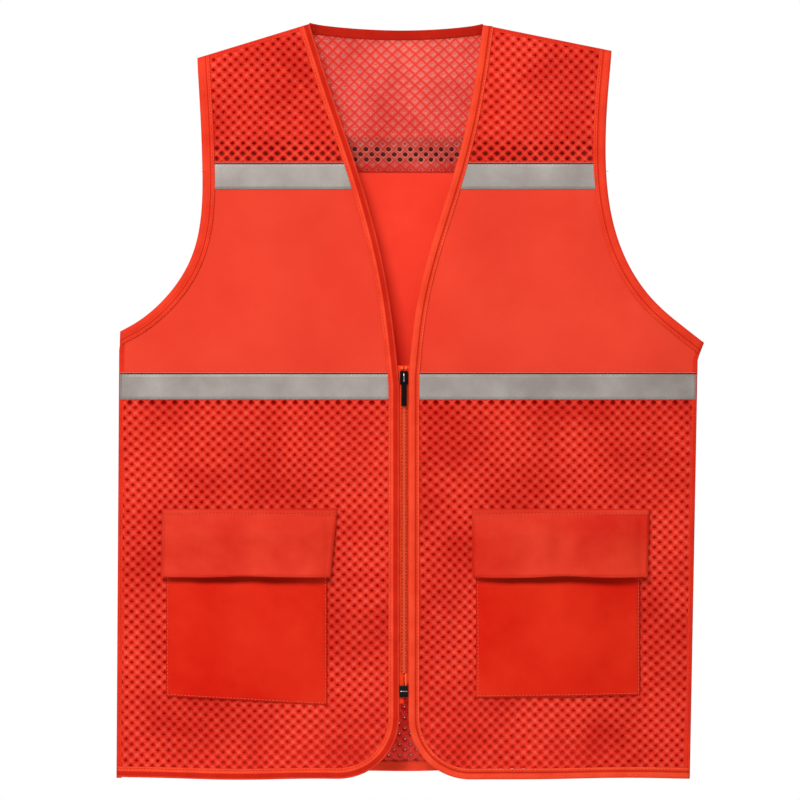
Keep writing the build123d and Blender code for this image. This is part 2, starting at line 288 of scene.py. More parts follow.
def x_at(path, z):
    """Where a path that only falls or only rises crosses each height."""
    order = np.argsort(path[:, 1])
    return np.interp(z, path[order, 1], path[order, 0])


def side_x(name, z):
    """Where the side seam is at each height."""
    x, heights = zip(*HALVES[name]["side"][::-1])
    return np.interp(z, heights, x)


def side_run(name, base, top):
    """The side seam's line from one height up to another, by way of its bend under the armhole."""
    bend = HALVES[name]["side"][1]
    return joined(line((side_x(name, base), base), bend), line(bend, (side_x(name, top), top)))


def mitred(path, start, end, reach=24.0):
    """The cross direction of a band whose ends are cut along the directions start and end."""
    across = sideways(path)
    along = np.stack([across[:, 1], -across[:, 0]], axis=1)
    run = travelled(path)
    result = across.copy()
    for k, direction, distance in ((0, start, run), (-1, end, run[-1] - run)):
        slant = np.dot(direction, along[k]) / np.dot(direction, across[k])
        result += along * (slant * np.clip(1 - distance / reach, 0, 1))[:, None]
    return result


def outer_x(name, z, w):
    """The outer limit of a cloth at each height, w inside the armhole edge, up to the side seam."""
    side = side_x(name, z) - 0.4
    arm = inset(arm_path(name), w)
    low = arm[:, 1].min()
    return np.where(z < low, side, np.minimum(x_at(arm, z), side))


# ---- Mesh building --------------------------------------------------------------------------
def build(name, points, faces, material, uv=None, smooth=True):
    """An object from points in millimetres, with flat coordinates as its UV map, in metres."""
    mesh = bpy.data.meshes.new(name)
    mesh.from_pydata((np.asarray(points) * MM).tolist(), [], faces)
    edit = bmesh.new()
    edit.from_mesh(mesh)
    bmesh.ops.recalc_face_normals(edit, faces=edit.faces)
    edit.to_mesh(mesh)
    edit.free()
    mesh.polygons.foreach_set("use_smooth", [smooth] * len(mesh.polygons))
    if uv is not None:
        index = np.zeros(len(mesh.loops), np.int32)
        mesh.loops.foreach_get("vertex_index", index)
        layer = mesh.uv_layers.new(name="flat")
        layer.data.foreach_set("uv", (np.asarray(uv)[index] * MM).astype(np.float32).ravel())
    obj = bpy.data.objects.new(name, mesh)
    bpy.context.scene.collection.objects.link(obj)
    mesh.materials.append(material)
    return obj


def grid_faces(rows, columns, closed=False, start=0):
    """Quads of a grid of points; closed joins the last column to the first."""
    faces = []
    for r in range(rows - 1):
        for c in range(columns if closed else columns - 1):
            d = (c + 1) % columns
            faces.append((start + r * columns + c, start + r * columns + d,
                          start + (r + 1) * columns + d, start + (r + 1) * columns + c))
    return faces


def two_faced(obj, material, face_count):
    """Gives an object's second run of faces, the inner face of a cloth, a material of its own."""
    obj.data.materials.append(material)
    for face in obj.data.polygons[face_count:2 * face_count]:
        face.material_index = 1


def slab(name, top, under, flat, material, reverse=None):
    """A thin closed cloth between two grids of points, with flat coordinates shared by both."""
    rows, columns = top.shape[:2]
    count = rows * columns
    faces = grid_faces(rows, columns)
    faces += [tuple(count + i for i in f[::-1]) for f in faces]
    grid = np.arange(count).reshape(rows, columns)
    rim = np.concatenate([grid[0], grid[1:, -1], grid[-1, -2::-1], grid[-2:0:-1, 0]]).tolist()
    faces += [(a, b, count + b, count + a) for a, b in zip(rim, rim[1:] + rim[:1])]
    points = np.concatenate([top.reshape(-1, 3), under.reshape(-1, 3)])
    sheet = build(name, points, faces, material, np.concatenate([flat.reshape(-1, 2)] * 2))
    if reverse:
        two_faced(sheet, reverse, (rows - 1) * (columns - 1))
    return sheet


def closed_sheet(name, skin, x, z, low, high, material, reverse=None):
    """A thin closed cloth over a grid of flat points, from height low to height high."""
    flat = np.stack([x, z], axis=-1)
    return slab(name, lay(skin, x, z, high), lay(skin, x, z, low), flat, material, reverse)


def loft(name, rings, flat, material):
    """A closed skin over rings of points, capped at both ends, with flat coordinates for each."""
    rows, columns = rings.shape[:2]
    faces = grid_faces(rows, columns, closed=True)
    faces.append(tuple(range(columns)))
    faces.append(tuple((rows - 1) * columns + c for c in range(columns))[::-1])
    return build(name, rings.reshape(-1, 3), faces, material, flat.reshape(-1, 2))


def beside(path, across, widths, sign=1):
    """x and z of points at each of some widths to the side of each point of a flat path."""
    across = np.broadcast_to(across, path.shape)
    x = (path[:, None, 0] + across[:, None, 0] * widths) * sign
    return x, path[:, None, 1] + across[:, None, 1] * widths


def swept(name, skin, path, across, profile, material, sign=1, lift=0.0):
    """A closed profile of (width, height) carried along a flat path, width along `across`."""
    w, n = np.array(profile).T
    x, z = beside(path, across, w, sign)
    rings = lay(skin, x, z, n + np.reshape(lift, (-1, 1)))
    flat = np.stack(np.broadcast_arrays(travelled(path)[:, None], w), axis=-1)
    return loft(name, rings, flat, material)


def even(points, step):
    """3D points spaced evenly along a run of points."""
    run = np.concatenate([[0], np.cumsum(np.linalg.norm(np.diff(points, axis=0), axis=1))])
    at = np.arange(step / 2, run[-1], step)
    return np.stack([np.interp(at, run, points[:, k]) for k in range(3)], axis=1), run, at


STITCH = 3.4
STITCH_LONG = 2.5
STITCH_SHAPE = ((-0.5, 0.15), (-0.36, 0.85), (-0.12, 1.0), (0.12, 1.0), (0.36, 0.85), (0.5, 0.15))
THREAD_R = 0.24
THREAD_SIDES = 6


def stitches(name, lines, material):
    """Rows of lockstitches: each stitch a short thread that dips into the cloth at both ends."""
    points, faces = [], []
    angles = np.arange(THREAD_SIDES) * 2 * math.pi / THREAD_SIDES
    for path in lines:
        centres, run, at = even(path, STITCH)
        ahead = np.stack([np.interp(at + 0.4, run, path[:, k]) for k in range(3)], axis=1)
        for c, a in zip(centres, ahead):
            along = Vector(a - c)
            if along.length < 1e-6:
                continue
            along.normalize()
            across = along.cross(Vector((0, 1, 0)))
            across.normalize()
            up = across.cross(along)
            outward = up if up.y * c[1] > 0 else -up
            base = len(points)
            for share, size in STITCH_SHAPE:
                dip = -1.0 * THREAD_R * (abs(share) * 2) ** 3
                middle = Vector(c) + along * (share * STITCH_LONG) + outward * dip
                for angle in angles:
                    offset = across * math.cos(angle) + up * math.sin(angle)
                    points.append(tuple(middle + offset * THREAD_R * size))
            faces += grid_faces(len(STITCH_SHAPE), THREAD_SIDES, closed=True, start=base)
            ends = (base, len(points) - THREAD_SIDES)
            faces += [tuple(range(end, end + THREAD_SIDES)) for end in ends]
    return build(name, points, faces, material, np.array(points)[:, [0, 2]])


def in_polygon(x, z, polygon):
    """Whether flat points are inside a closed outline."""
    inside = np.zeros(np.shape(x), bool)
    for (ax, az), (bx, bz) in zip(polygon, np.roll(polygon, -1, axis=0)):
        if az != bz:
            inside ^= ((az > z) != (bz > z)) & (x < (bx - ax) * (z - az) / (bz - az) + ax)
    return inside


def cut(polygon, limit, above):
    """The part of an outline above or below a height."""
    result = []
    for a, b in zip(polygon, np.roll(polygon, -1, axis=0)):
        inside = [(p[1] >= limit) == above for p in (a, b)]
        if inside[0]:
            result.append(a)
        if inside[0] != inside[1]:
            result.append(a + (b - a) * (limit - a[1]) / (b[1] - a[1]))
    return np.array(result)


def onto(x, z, polygon):
    """Flat points moved to the nearest place on an outline."""
    a = polygon[None, :]
    d = np.roll(polygon, -1, axis=0)[None, :] - a
    p = np.stack([x, z], axis=-1)[:, None, :]
    t = ((p - a) * d).sum(-1) / np.maximum((d * d).sum(-1), 1e-9)
    near = a + d * np.clip(t, 0, 1)[..., None]
    best = np.argmin(((near - p) ** 2).sum(-1), axis=1)
    near = near[np.arange(len(x)), best]
    return near[:, 0], near[:, 1]


CORNERS = 8
AROUND = np.array([(2, 0), (1, 1), (0, 2), (-1, 1), (-2, 0), (-1, -1), (0, -2), (1, -1)])


def lattice_point(phase, row, key_x, key_z, dx=0.0, dz=0.0):
    """Where a point of a net's lattice lies, from its keys in quarters of a cell, pulled off true."""
    u = phase + key_x * CELL_X / 4 + dx
    v = row + key_z * CELL_Z / 4 + dz
    loose = np.clip(np.abs(v - row) / 60, 0, 1)
    return u + WARP_X(u, v), v + WARP_Z(u, v) * loose


def lattice(outline, phase, row):
    """The diamond cells that touch an outline: keys of middles and of corners, and each cell's corners."""
    x0, z0 = outline.min(axis=0) - 40
    x1, z1 = outline.max(axis=0) + 40
    j, i = np.meshgrid(np.arange(int((z0 - row) / CELL_Z * 2), int((z1 - row) / CELL_Z * 2)),
                       np.arange(int((x0 - phase) / CELL_X), int((x1 - phase) / CELL_X)), indexing="ij")
    middles = np.stack([(4 * i + 2 * (j % 2)).ravel(), (2 * j).ravel()], axis=-1)
    corners, index = np.unique((middles[:, None] + AROUND).reshape(-1, 2), axis=0, return_inverse=True)
    index = index.reshape(-1, CORNERS)
    inside = in_polygon(*lattice_point(phase, row, *corners.T), outline)
    used = inside[index].any(axis=1)
    kept, index = np.unique(index[used], return_inverse=True)
    return middles[used], corners[kept], index.reshape(-1, CORNERS)


def clipped(x, z, outline):
    """Flat points, with those outside an outline moved onto it."""
    out = ~in_polygon(x, z, outline)
    x[out], z[out] = onto(x[out], z[out], outline)
    return x, z


def bridged(a, b):
    """Quads between two loops of points in every cell."""
    return np.stack([a, np.roll(a, -1, axis=1), np.roll(b, -1, axis=1), b], axis=-1).reshape(-1, 4)


def net_rim(index, count):
    """Quads that close a net's cut edge, from its outer face to its inner face."""
    pair = np.stack([index, np.roll(index, -1, axis=1)], axis=-1).reshape(-1, 2)
    _, first, uses = np.unique(np.sort(pair, axis=1), axis=0, return_index=True, return_counts=True)
    a, b = pair[first[uses == 1]].T
    return np.stack([a, b, b + count, a + count], axis=1)


def level(z):
    """The lift of a net that follows its cloth everywhere: none, at any height."""
    return 0 * z


def net(name, skin, outline, phase, row, radius, material, highlights, reverse=None, lift=level,
        rings=True):
    """Open mesh cloth: a staggered lattice of holes, each in a diamond cell, cut to an outline.

    One row of holes runs straight at the height row, and phase moves the lattice along it.
    radius and lift give a hole's radius and the net's lift off its cloth's middle at each height.
    The shares of painted highlight, lighter knots and rims standing in for light, go at a knot, between
    knots, round a hole and at the hole's lip; reverse is a material and shares of its own for the cloth's
    inner face.
    """
    middles, corners, index = lattice(outline, phase, row)
    ox, oz = clipped(*lattice_point(phase, row, *corners.T), outline)
    cx, cz = lattice_point(phase, row, *middles.T)
    bx, bz = onto(cx, cz, outline)
    whole = in_polygon(cx, cz, outline) & (np.hypot(cx - bx, cz - bz) > SOLID_EDGE)
    size = np.where(whole, radius(cz), CLOSED_HOLE)[:, None]
    angle = np.arange(CORNERS) * math.pi / 4
    hx, hz = clipped(*lattice_point(phase, row, *middles.T[..., None], size * 1.04 * np.cos(angle),
                                    size * 0.97 * np.sin(angle)), outline)

    knots = corners[:, 0] % 2 == 0
    crown = np.where(knots, STRAND, STRAND * 0.86)
    inner = reverse[1] if reverse else highlights
    layers = [(ox, oz, crown, np.where(knots, highlights[0], highlights[1])),
              (ox, oz, -crown, np.where(knots, inner[0], inner[1])),
              (hx, hz, 0.0, max(highlights[3], inner[3]))]
    if rings:
        gx, gz = ox[index] * 0.4 + hx * 0.6, oz[index] * 0.4 + hz * 0.6
        layers += [(gx, gz, RIM, highlights[2]), (gx, gz, -RIM, inner[2])]
    points = [lay(skin, x, z, lift(z) + over).reshape(-1, 3) for x, z, over, _ in layers]
    flat = [np.stack([x, z], axis=-1).reshape(-1, 2) for x, z, _, _ in layers]

    count, cells = len(ox), len(middles)
    hole = (2 * count + np.arange(cells * CORNERS)).reshape(-1, CORNERS)
    faces = []
    for face in (0, 1):
        loops = [index + face * count, hole]
        if rings:
            loops.insert(1, hole + cells * CORNERS * (1 + face))
        faces += [bridged(a, b) for a, b in zip(loops, loops[1:])]
    faces = np.concatenate([*faces, net_rim(index, count)]).tolist()
    made = build(name, np.concatenate(points), faces, material, np.concatenate(flat))
    if reverse:
        two_faced(made, reverse[0], (1 + rings) * cells * CORNERS)

    levels = np.concatenate([lift(oz)] * 2 + [lift(hz).ravel()] * (1 + 2 * rings))
    # Painted highlight: each point's share of the lighter, pinker colour, spread at random, and cut back
    # where the net is tucked down under the plain panel, as painted shade.
    highlight_shares = np.concatenate([np.ravel(tone + 0 * x) for x, _, _, tone in layers])
    highlight_shares = highlight_shares * np.random.default_rng(len(name)).uniform(0.75, 1.1, len(levels)) * (1 + 0.8 * levels)
    knit_highlight = made.data.attributes.new("knit_highlight", "FLOAT", "POINT")
    knit_highlight.data.foreach_set("value", highlight_shares.astype(np.float32))
    edit = bmesh.new()
    edit.from_mesh(made.data)
    bmesh.ops.dissolve_degenerate(edit, edges=edit.edges[:], dist=0.00003)
    edit.to_mesh(made.data)
    edit.free()
    return made, sum(p.area for p in made.data.polygons) / 2


# ---- Materials ------------------------------------------------------------------------------
def node(tree, kind, inputs=None, **settings):
    """A shader node with its settings, and its inputs filled with values or linked to outputs."""
    made = tree.nodes.new(kind)
    for key, value in settings.items():
        setattr(made, key, value)
    for key, value in (inputs or {}).items():
        if isinstance(value, bpy.types.NodeSocket):
            tree.links.new(value, made.inputs[key])
        else:
            made.inputs[key].default_value = value
    return made


def noise(tree, place, scale, detail, roughness):
    """Uneven patches, from 0 to 1."""
    inputs = {"Vector": place, "Scale": scale, "Detail": detail, "Roughness": roughness}
    return node(tree, "ShaderNodeTexNoise", inputs).outputs["Fac"]


def ramp(tree, factor, *stops):
    """A colour that runs through stops of (place, colour) as a factor goes from 0 to 1."""
    made = node(tree, "ShaderNodeValToRGB", {0: factor})
    while len(made.color_ramp.elements) < len(stops):
        made.color_ramp.elements.new(0.5)
    for element, (place, colour) in zip(made.color_ramp.elements, stops):
        element.position = place
        element.color = (*colour, 1)
    return made.outputs[0]


def remap(tree, value, low, high, start=0.0, end=1.0):
    """A value brought from between start and end to between low and high."""
    inputs = {"Value": value, "From Min": start, "From Max": end, "To Min": low, "To Max": high}
    return node(tree, "ShaderNodeMapRange", inputs).outputs[0]


def maths(tree, operation, a, b, clamped=False):
    """Two values added or multiplied."""
    return node(tree, "ShaderNodeMath", {0: a, 1: b}, operation=operation, use_clamp=clamped).outputs[0]


def brightened(tree, colour, value):
    """A colour made lighter or darker by a value around 1."""
    return node(tree, "ShaderNodeHueSaturation", {"Value": value, "Color": colour}).outputs[0]


def emboss(tree, shader, relief, strength, distance):
    """Raises a shader's surface by a relief, distance in metres."""
    inputs = {"Height": relief, "Strength": strength, "Distance": distance}
    bump = node(tree, "ShaderNodeBump", inputs)
    tree.links.new(bump.outputs[0], shader.inputs["Normal"])


def blended(tree, factor, a, b, target="Material Output"):
    """Makes a mix of two shaders the surface of a material or a world."""
    mix = node(tree, "ShaderNodeMixShader", {0: factor, 1: a.outputs[0], 2: b.outputs[0]})
    tree.links.new(mix.outputs[0], tree.nodes[target].inputs["Surface"])


def start_material(name, roughness, shine=0.12, metallic=0.0):
    """A principled material, its tree and its shader."""
    material = bpy.data.materials.new(name)
    material.use_nodes = True
    tree = material.node_tree
    shader = tree.nodes["Principled BSDF"]
    shader.inputs["Roughness"].default_value = roughness
    shader.inputs["Metallic"].default_value = metallic
    shader.inputs["Specular IOR Level"].default_value = shine
    return material, tree, shader


UNTINTED = (1, 1, 1)
# Painted fold shade for a binding, and the painted highlight strip just beyond it.
PAINTED_FOLD_SHADE = (0.70, 0.27, 0.18)
PAINTED_FOLD_HIGHLIGHT = (1.08, 1.25, 1.3)
FOLD_REACH = 12.0


def folded(tree, uv, colour, fold):
    """A binding's colour with painted fold shade between two distances from its edge, and a painted highlight
    strip just beyond.
    """
    near, far = fold
    place = node(tree, "ShaderNodeSeparateXYZ", {0: uv}).outputs["Y"]
    across = maths(tree, "MULTIPLY", place, 1 / (FOLD_REACH * MM))
    stops = [(0.0, UNTINTED), (near, UNTINTED), (near + 0.7, PAINTED_FOLD_SHADE), (far - 0.5, PAINTED_FOLD_SHADE),
             (far + 0.6, PAINTED_FOLD_HIGHLIGHT), (FOLD_REACH, UNTINTED)]
    tint = ramp(tree, across, *[(at / FOLD_REACH, shade) for at, shade in stops])
    return node(tree, "ShaderNodeVectorMath", {0: colour, 1: tint}, operation="MULTIPLY").outputs[0]


def cloth(name, colour, shade, weave=0.45, weave_depth=0.35, blotch=40.0, rough=0.82, grain=0.5,
          diagonal=False, through=0.3, fold=None, knit_highlight=None, shine=0.12):
    """Woven or knitted cloth: uneven colour, a fine weave and fibre grain, all from the flat map.

    weave is the ribs' pitch in millimetres, and through is the share of light that passes through.
    fold is where a band of painted fold shade lies, in millimetres from a binding's edge, with a painted
    highlight strip beyond it.
    The net colour is a painted highlight, laid on where the net's highlight attribute is 1: lighter knots and
    rims.
    """
    material, tree, shader = start_material(name, rough, shine)
    uv = node(tree, "ShaderNodeUVMap", uv_map="flat").outputs[0]
    tone = noise(tree, uv, blotch, 5.0, 0.6)
    dye_and_painted_light = ramp(tree, tone, (0.36, shade), (0.62, colour))
    if knit_highlight:
        # Painted highlight: the net's lighter, pinker knots and rims, spread unevenly in patches.
        loops = node(tree, "ShaderNodeAttribute", attribute_name="knit_highlight").outputs["Fac"]
        patch = remap(tree, tone, 0.45, 1.15, 0.35, 0.65)
        share = maths(tree, "MULTIPLY", loops, patch, clamped=True)
        inputs = {"Factor": share, "A": dye_and_painted_light, "B": (*knit_highlight, 1)}
        dye_and_painted_light = node(tree, "ShaderNodeMix", inputs, data_type="RGBA").outputs["Result"]
    speck = noise(tree, uv, 2600.0, 3.0, 0.7)
    dye_and_painted_light = brightened(tree, dye_and_painted_light, remap(tree, speck, 1 - 0.16 * grain, 1 + 0.16 * grain))
    if fold:
        dye_and_painted_light = folded(tree, uv, dye_and_painted_light, fold)
    tree.links.new(dye_and_painted_light, shader.inputs["Base Color"])

    ribs = {"Vector": uv, "Scale": 1000.0 / weave / 3.18, "Distortion": 0.6, "Detail": 1.0}
    warp, weft = (node(tree, "ShaderNodeTexWave", ribs, wave_type="BANDS", bands_direction=direction)
                  for direction in ("DIAGONAL" if diagonal else "X", "Y"))
    crossed = maths(tree, "ADD", warp.outputs["Fac"], weft.outputs["Fac"])
    emboss(tree, shader, maths(tree, "ADD", crossed, speck), weave_depth, 0.00022)
    blended(tree, through, shader, node(tree, "ShaderNodeBsdfTranslucent", {"Color": dye_and_painted_light}))
    return material


def tape_material():
    """Grey reflective tape: glass-bead grain, faint heat-set lines and a soft metallic sheen."""
    material, tree, shader = start_material("reflective_grey", 0.42, metallic=0.25)
    uv = node(tree, "ShaderNodeUVMap", uv_map="flat").outputs[0]
    grey = ramp(tree, noise(tree, uv, 28.0, 4.0, 0.55), (0.35, (0.255, 0.222, 0.205)),
                (0.65, (0.325, 0.295, 0.270)))
    beads = node(tree, "ShaderNodeTexVoronoi", {"Vector": uv, "Scale": 3800.0}).outputs["Distance"]
    grey = brightened(tree, grey, remap(tree, beads, 1.06, 0.86))
    tree.links.new(grey, shader.inputs["Base Color"])
    ribs = node(tree, "ShaderNodeTexWave", {"Vector": uv, "Scale": 210.0, "Distortion": 0.2},
                wave_type="BANDS", bands_direction="X")
    emboss(tree, shader, maths(tree, "ADD", ribs.outputs["Fac"], beads), 0.25, 0.0002)
    return material


def hard(name, colour, roughness, scratch=0.3, metallic=0.0, shine=0.4):
    """Enamelled metal or moulded plastic: slight mottling, scuffs and worn gloss."""
    material, tree, shader = start_material(name, roughness, shine, metallic)
    place = node(tree, "ShaderNodeTexCoord").outputs["Object"]
    tone = noise(tree, place, 900.0, 5.0, 0.6)
    darker = [c * 0.6 for c in colour]
    lighter = [min(1.0, c * 1.4) for c in colour]
    tree.links.new(ramp(tree, tone, (0.0, darker), (1.0, lighter)), shader.inputs["Base Color"])
    gloss = remap(tree, tone, roughness * 0.7, min(1.0, roughness * 1.5))
    tree.links.new(gloss, shader.inputs["Roughness"])
    emboss(tree, shader, tone, scratch, 0.00005)
    return material


# The nets' pale pink last colours are painted highlight, laid on their knots and hole rims.
MESH_CLOTH = cloth("mesh_knit", (0.84, 0.022, 0.008), (0.70, 0.010, 0.003), weave=0.7,
                   weave_depth=0.5, blotch=13.0, through=0.45, knit_highlight=(1.0, 0.15, 0.09))
BACK_MESH_CLOTH = cloth("mesh_knit_back", (0.76, 0.040, 0.027), (0.64, 0.024, 0.015), weave=0.7,
                        weave_depth=0.5, blotch=14.0, through=0.5, knit_highlight=(0.86, 0.33, 0.26))
PLAIN_CLOTH = cloth("plain_knit", (0.86, 0.072, 0.035), (0.82, 0.056, 0.026), weave=0.55,
                    weave_depth=0.22, blotch=9.0, grain=0.3, through=0.4)
BINDING_CLOTH = cloth("bias_binding", (0.93, 0.076, 0.029), (0.85, 0.056, 0.019), diagonal=True)
# Edge and armhole bindings carry painted fold shade and a painted highlight strip, set for each front apart.
EDGE_CLOTH = {
    "right": cloth("right_edge_binding", (0.90, 0.066, 0.025), (0.80, 0.046, 0.016), diagonal=True,
                   fold=(1.2, 5.8)),
    "left": cloth("left_edge_binding", (0.92, 0.080, 0.030), (0.84, 0.058, 0.020), diagonal=True,
                  fold=(5.4, 7.8)),
}
ARM_CLOTH = cloth("armhole_binding", (0.89, 0.056, 0.021), (0.78, 0.038, 0.013), blotch=30.0,
                  diagonal=True, fold=(7.2, 8.6))
NECK_CLOTH = cloth("neck_binding", (0.56, 0.014, 0.003), (0.48, 0.010, 0.002), blotch=30.0,
                   diagonal=True)
SEAM_CLOTH = cloth("seam_edge", (0.84, 0.036, 0.013), (0.74, 0.026, 0.009), weave=0.6, blotch=60.0)
POCKET_WEAVE = {"weave": 0.5, "weave_depth": 0.3, "grain": 0.35, "through": 0.1}
POCKET_CLOTH = cloth("pocket_weave", (0.64, 0.022, 0.006), (0.57, 0.009, 0.002), blotch=9.0,
                     rough=0.65, shine=0.05, **POCKET_WEAVE)
FLAP_CLOTH = cloth("flap_weave", (0.64, 0.035, 0.013), (0.54, 0.012, 0.003), blotch=10.0,
                   rough=0.55, shine=0.1, **POCKET_WEAVE)
ZIP_CLOTH = cloth("zip_tape_weave", (0.95, 0.060, 0.012), (0.84, 0.040, 0.008), weave=0.9,
                  weave_depth=0.7, blotch=60.0, diagonal=True)
HOOK_CLOTH = cloth("hook_and_loop", (0.62, 0.030, 0.010), (0.52, 0.022, 0.007), weave=1.1,
                   weave_depth=1.0, blotch=300.0, rough=0.9, grain=1.6)
TWIST = {"weave": 0.25, "weave_depth": 0.6, "blotch": 400.0, "rough": 0.6}
# Pale thread: its colour is a painted highlight, for the light lines along tape folds, pocket edges and flap
# ridges.
PAINTED_HIGHLIGHT_THREAD = cloth("painted_highlight_thread", (1.0, 0.20, 0.13), (0.9, 0.14, 0.09), **TWIST)
THREAD = cloth("red_thread", (0.74, 0.028, 0.010), (0.60, 0.018, 0.006), **TWIST)
GREY_THREAD = cloth("grey_thread", (0.46, 0.42, 0.40), (0.34, 0.30, 0.29), **TWIST)
# Dark backing of a tape's inner face; its dark colour also makes the painted shadow line under a tape's fold.
TAPE_BACKING_AND_SHADOW = cloth("tape_backing_and_shadow", (0.085, 0.010, 0.006), (0.050, 0.006, 0.004), weave=0.5,
                     weave_depth=0.6, blotch=50.0, through=0.0)
TAPE_GREY = tape_material()
COIL = hard("coil_nylon", (0.85, 0.075, 0.014), 0.35)
ENAMEL = hard("black_enamel", (0.003, 0.002, 0.002), 0.25, 0.2, shine=0.1)
POLISHED = hard("worn_crown", (0.42, 0.40, 0.40), 0.22, 0.2, metallic=1.0)
PLASTIC = hard("black_plastic", (0.004, 0.003, 0.003), 0.4, 0.4, shine=0.1)


def riding(body, slot, *pieces):
    """Pieces that move with one body; slot is not used."""
    for piece in pieces:
        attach(piece, body)


def across_fold(name, slot, *pieces):
    """Pieces with their placement baked into their points; a front's fold line, between the vest and the edge
    that turns back, is worked out, but nothing bends along it.
    """
    sign = SIGN[name]
    top = np.array([FOLD_TOP[0] * sign, FOLD_TOP[1]])
    hem = np.array([FOLD_HEM[0] * sign, FOLD_HEM[1]])
    along = (hem - top) / np.linalg.norm(hem - top)
    inward = np.array([along[1], -along[0]])
    if inward[0] * sign > 0:
        inward = -inward
    for piece in pieces:
        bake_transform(piece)


# ---- Panels -----------------------------------------------------------------------------------
def front_outline(name, w_edge, w_arm):
    """The flat outline of a front, moved into the cloth along its bound edges."""
    edge = inset(edge_path(name), w_edge)
    arm = inset(arm_path(name), w_arm)
    return np.concatenate([edge, side_run(name, HEM_Z + w_edge, arm[0, 1]), arm])


def back_outline(w_arm, w_neck, w_hem):
    """The flat outline of the whole back."""
    runs = []
    for name in ("left", "right"):
        arm = inset(arm_path(name), w_arm)
        run = np.concatenate([side_run(name, BACK_HEM_Z + w_hem, arm[0, 1]), arm]) * (SIGN[name], 1)
        runs.append(run if name == "left" else run[::-1])
    neck = neck_path() + (0, -w_neck)
    return np.concatenate([runs[0], neck, runs[1]])


def neck_path():
    """The back neck edge from the wearer's left to the right, dipping in the middle."""
    left, right = HALVES["left"]["shoulder"][0], HALVES["right"]["shoulder"][0]
    x = np.linspace(left[0], -right[0], 60)
    t = np.linspace(-1, 1, 60)
    ends = np.interp(x, [-right[0], left[0]], [right[1] + 1.5, left[1] + 1.5])
    return np.stack([x, ends - 6.5 * (1 - t ** 2)], axis=1)


def near_seam(z, seam, reach, size, plain):
    """A hole radius that opens up over a few rows just beside a seam."""
    share = np.clip((reach - np.abs(z - seam)) / 4.0, 0, 1)
    return plain + (size - plain) * share


def front_nets(name):
    """The open mesh of one front's yoke and lower panel."""
    whole = front_outline(name, *NET_INSET) * (SIGN[name], 1)

    def yoke_holes(z):
        return near_seam(z, CHEST_TAPE[1] + 6, *YOKE_OPEN, HOLE)

    def lower_holes(z):
        return near_seam(z, WAIST_TAPE[0], *LOWER_OPEN, HOLE)

    yoke, area = net(f"{name}_yoke_net", FRONT, cut(whole, YOKE_Z - 3, True), 0.0, YOKE_ROW,
                     yoke_holes, MESH_CLOTH, KNIT_HIGHLIGHTS)
    riding("vest_body", "mesh_cloth", yoke)
    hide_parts(f"{name}_yoke_mesh")

    body, area = net(f"{name}_lower_net", FRONT, cut(whole, WAIST_Z, False), 0.0, LOWER_ROW,
                     lower_holes, MESH_CLOTH, KNIT_HIGHLIGHTS)
    across_fold(name, "mesh_cloth", body)
    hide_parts(f"{name}_lower_mesh", f"{name}_lower_mesh_edge")


def rows_between(name, top, base, w_edge, w_arm, step=STEP):
    """A grid over a front between two heights, from its free edge to its outer limit."""
    z = np.linspace(top, base, max(2, int((top - base) / step) + 1))
    near = x_at(inset(edge_path(name), w_edge)[:-20], z)
    far = outer_x(name, z, w_arm)
    columns = max(2, int((far - near).max() / step) + 1)
    x = near[:, None] + (far - near)[:, None] * np.linspace(0, 1, columns)
    return x * SIGN[name], np.broadcast_to(z[:, None], x.shape)


def front_plain(name):
    """The plain chest panel of one front."""
    x, z = rows_between(name, YOKE_Z + 4, WAIST_Z - 4, 5, 6)
    panel = closed_sheet(f"{name}_chest_cloth", FRONT, x, z, -CLOTH_HALF, CLOTH_HALF, PLAIN_CLOTH)
    across_fold(name, "plain_cloth", panel)
    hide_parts(f"{name}_chest_panel", f"{name}_chest_panel_edge")


TAPE_INSET = (8.0, 9.0)
TAPE_THREAD = TAPE_LAYER[1] + 0.12
TAPE_STITCH_SHARES = (0.07, 0.93)
RIDGE_ABOVE = 0.9
GROOVE_BELOW = 1.1
# Profiles of the pale ridge over a tape's top, a painted highlight, and of the dark strip under it, a painted
# shadow line.
FOLD_RIDGE = [(-0.55, 0.3), (-0.4, 0.8), (0.0, 1.0), (0.4, 0.8), (0.6, 0.3)]
GROOVE = [(-0.4, 0.5), (-0.4, 0.88), (0.4, 0.86), (0.4, 0.3)]


def tape_stitches(name, skin, rows, top, base):
    """The two rows of stitching that hold a reflective tape, with x along each of them."""
    lines = [lay(skin, x, np.full(len(x), top + (base - top) * share), TAPE_THREAD)
             for x, share in zip(rows, TAPE_STITCH_SHARES)]
    return stitches(f"{name}_tape_stitching", lines, GREY_THREAD)


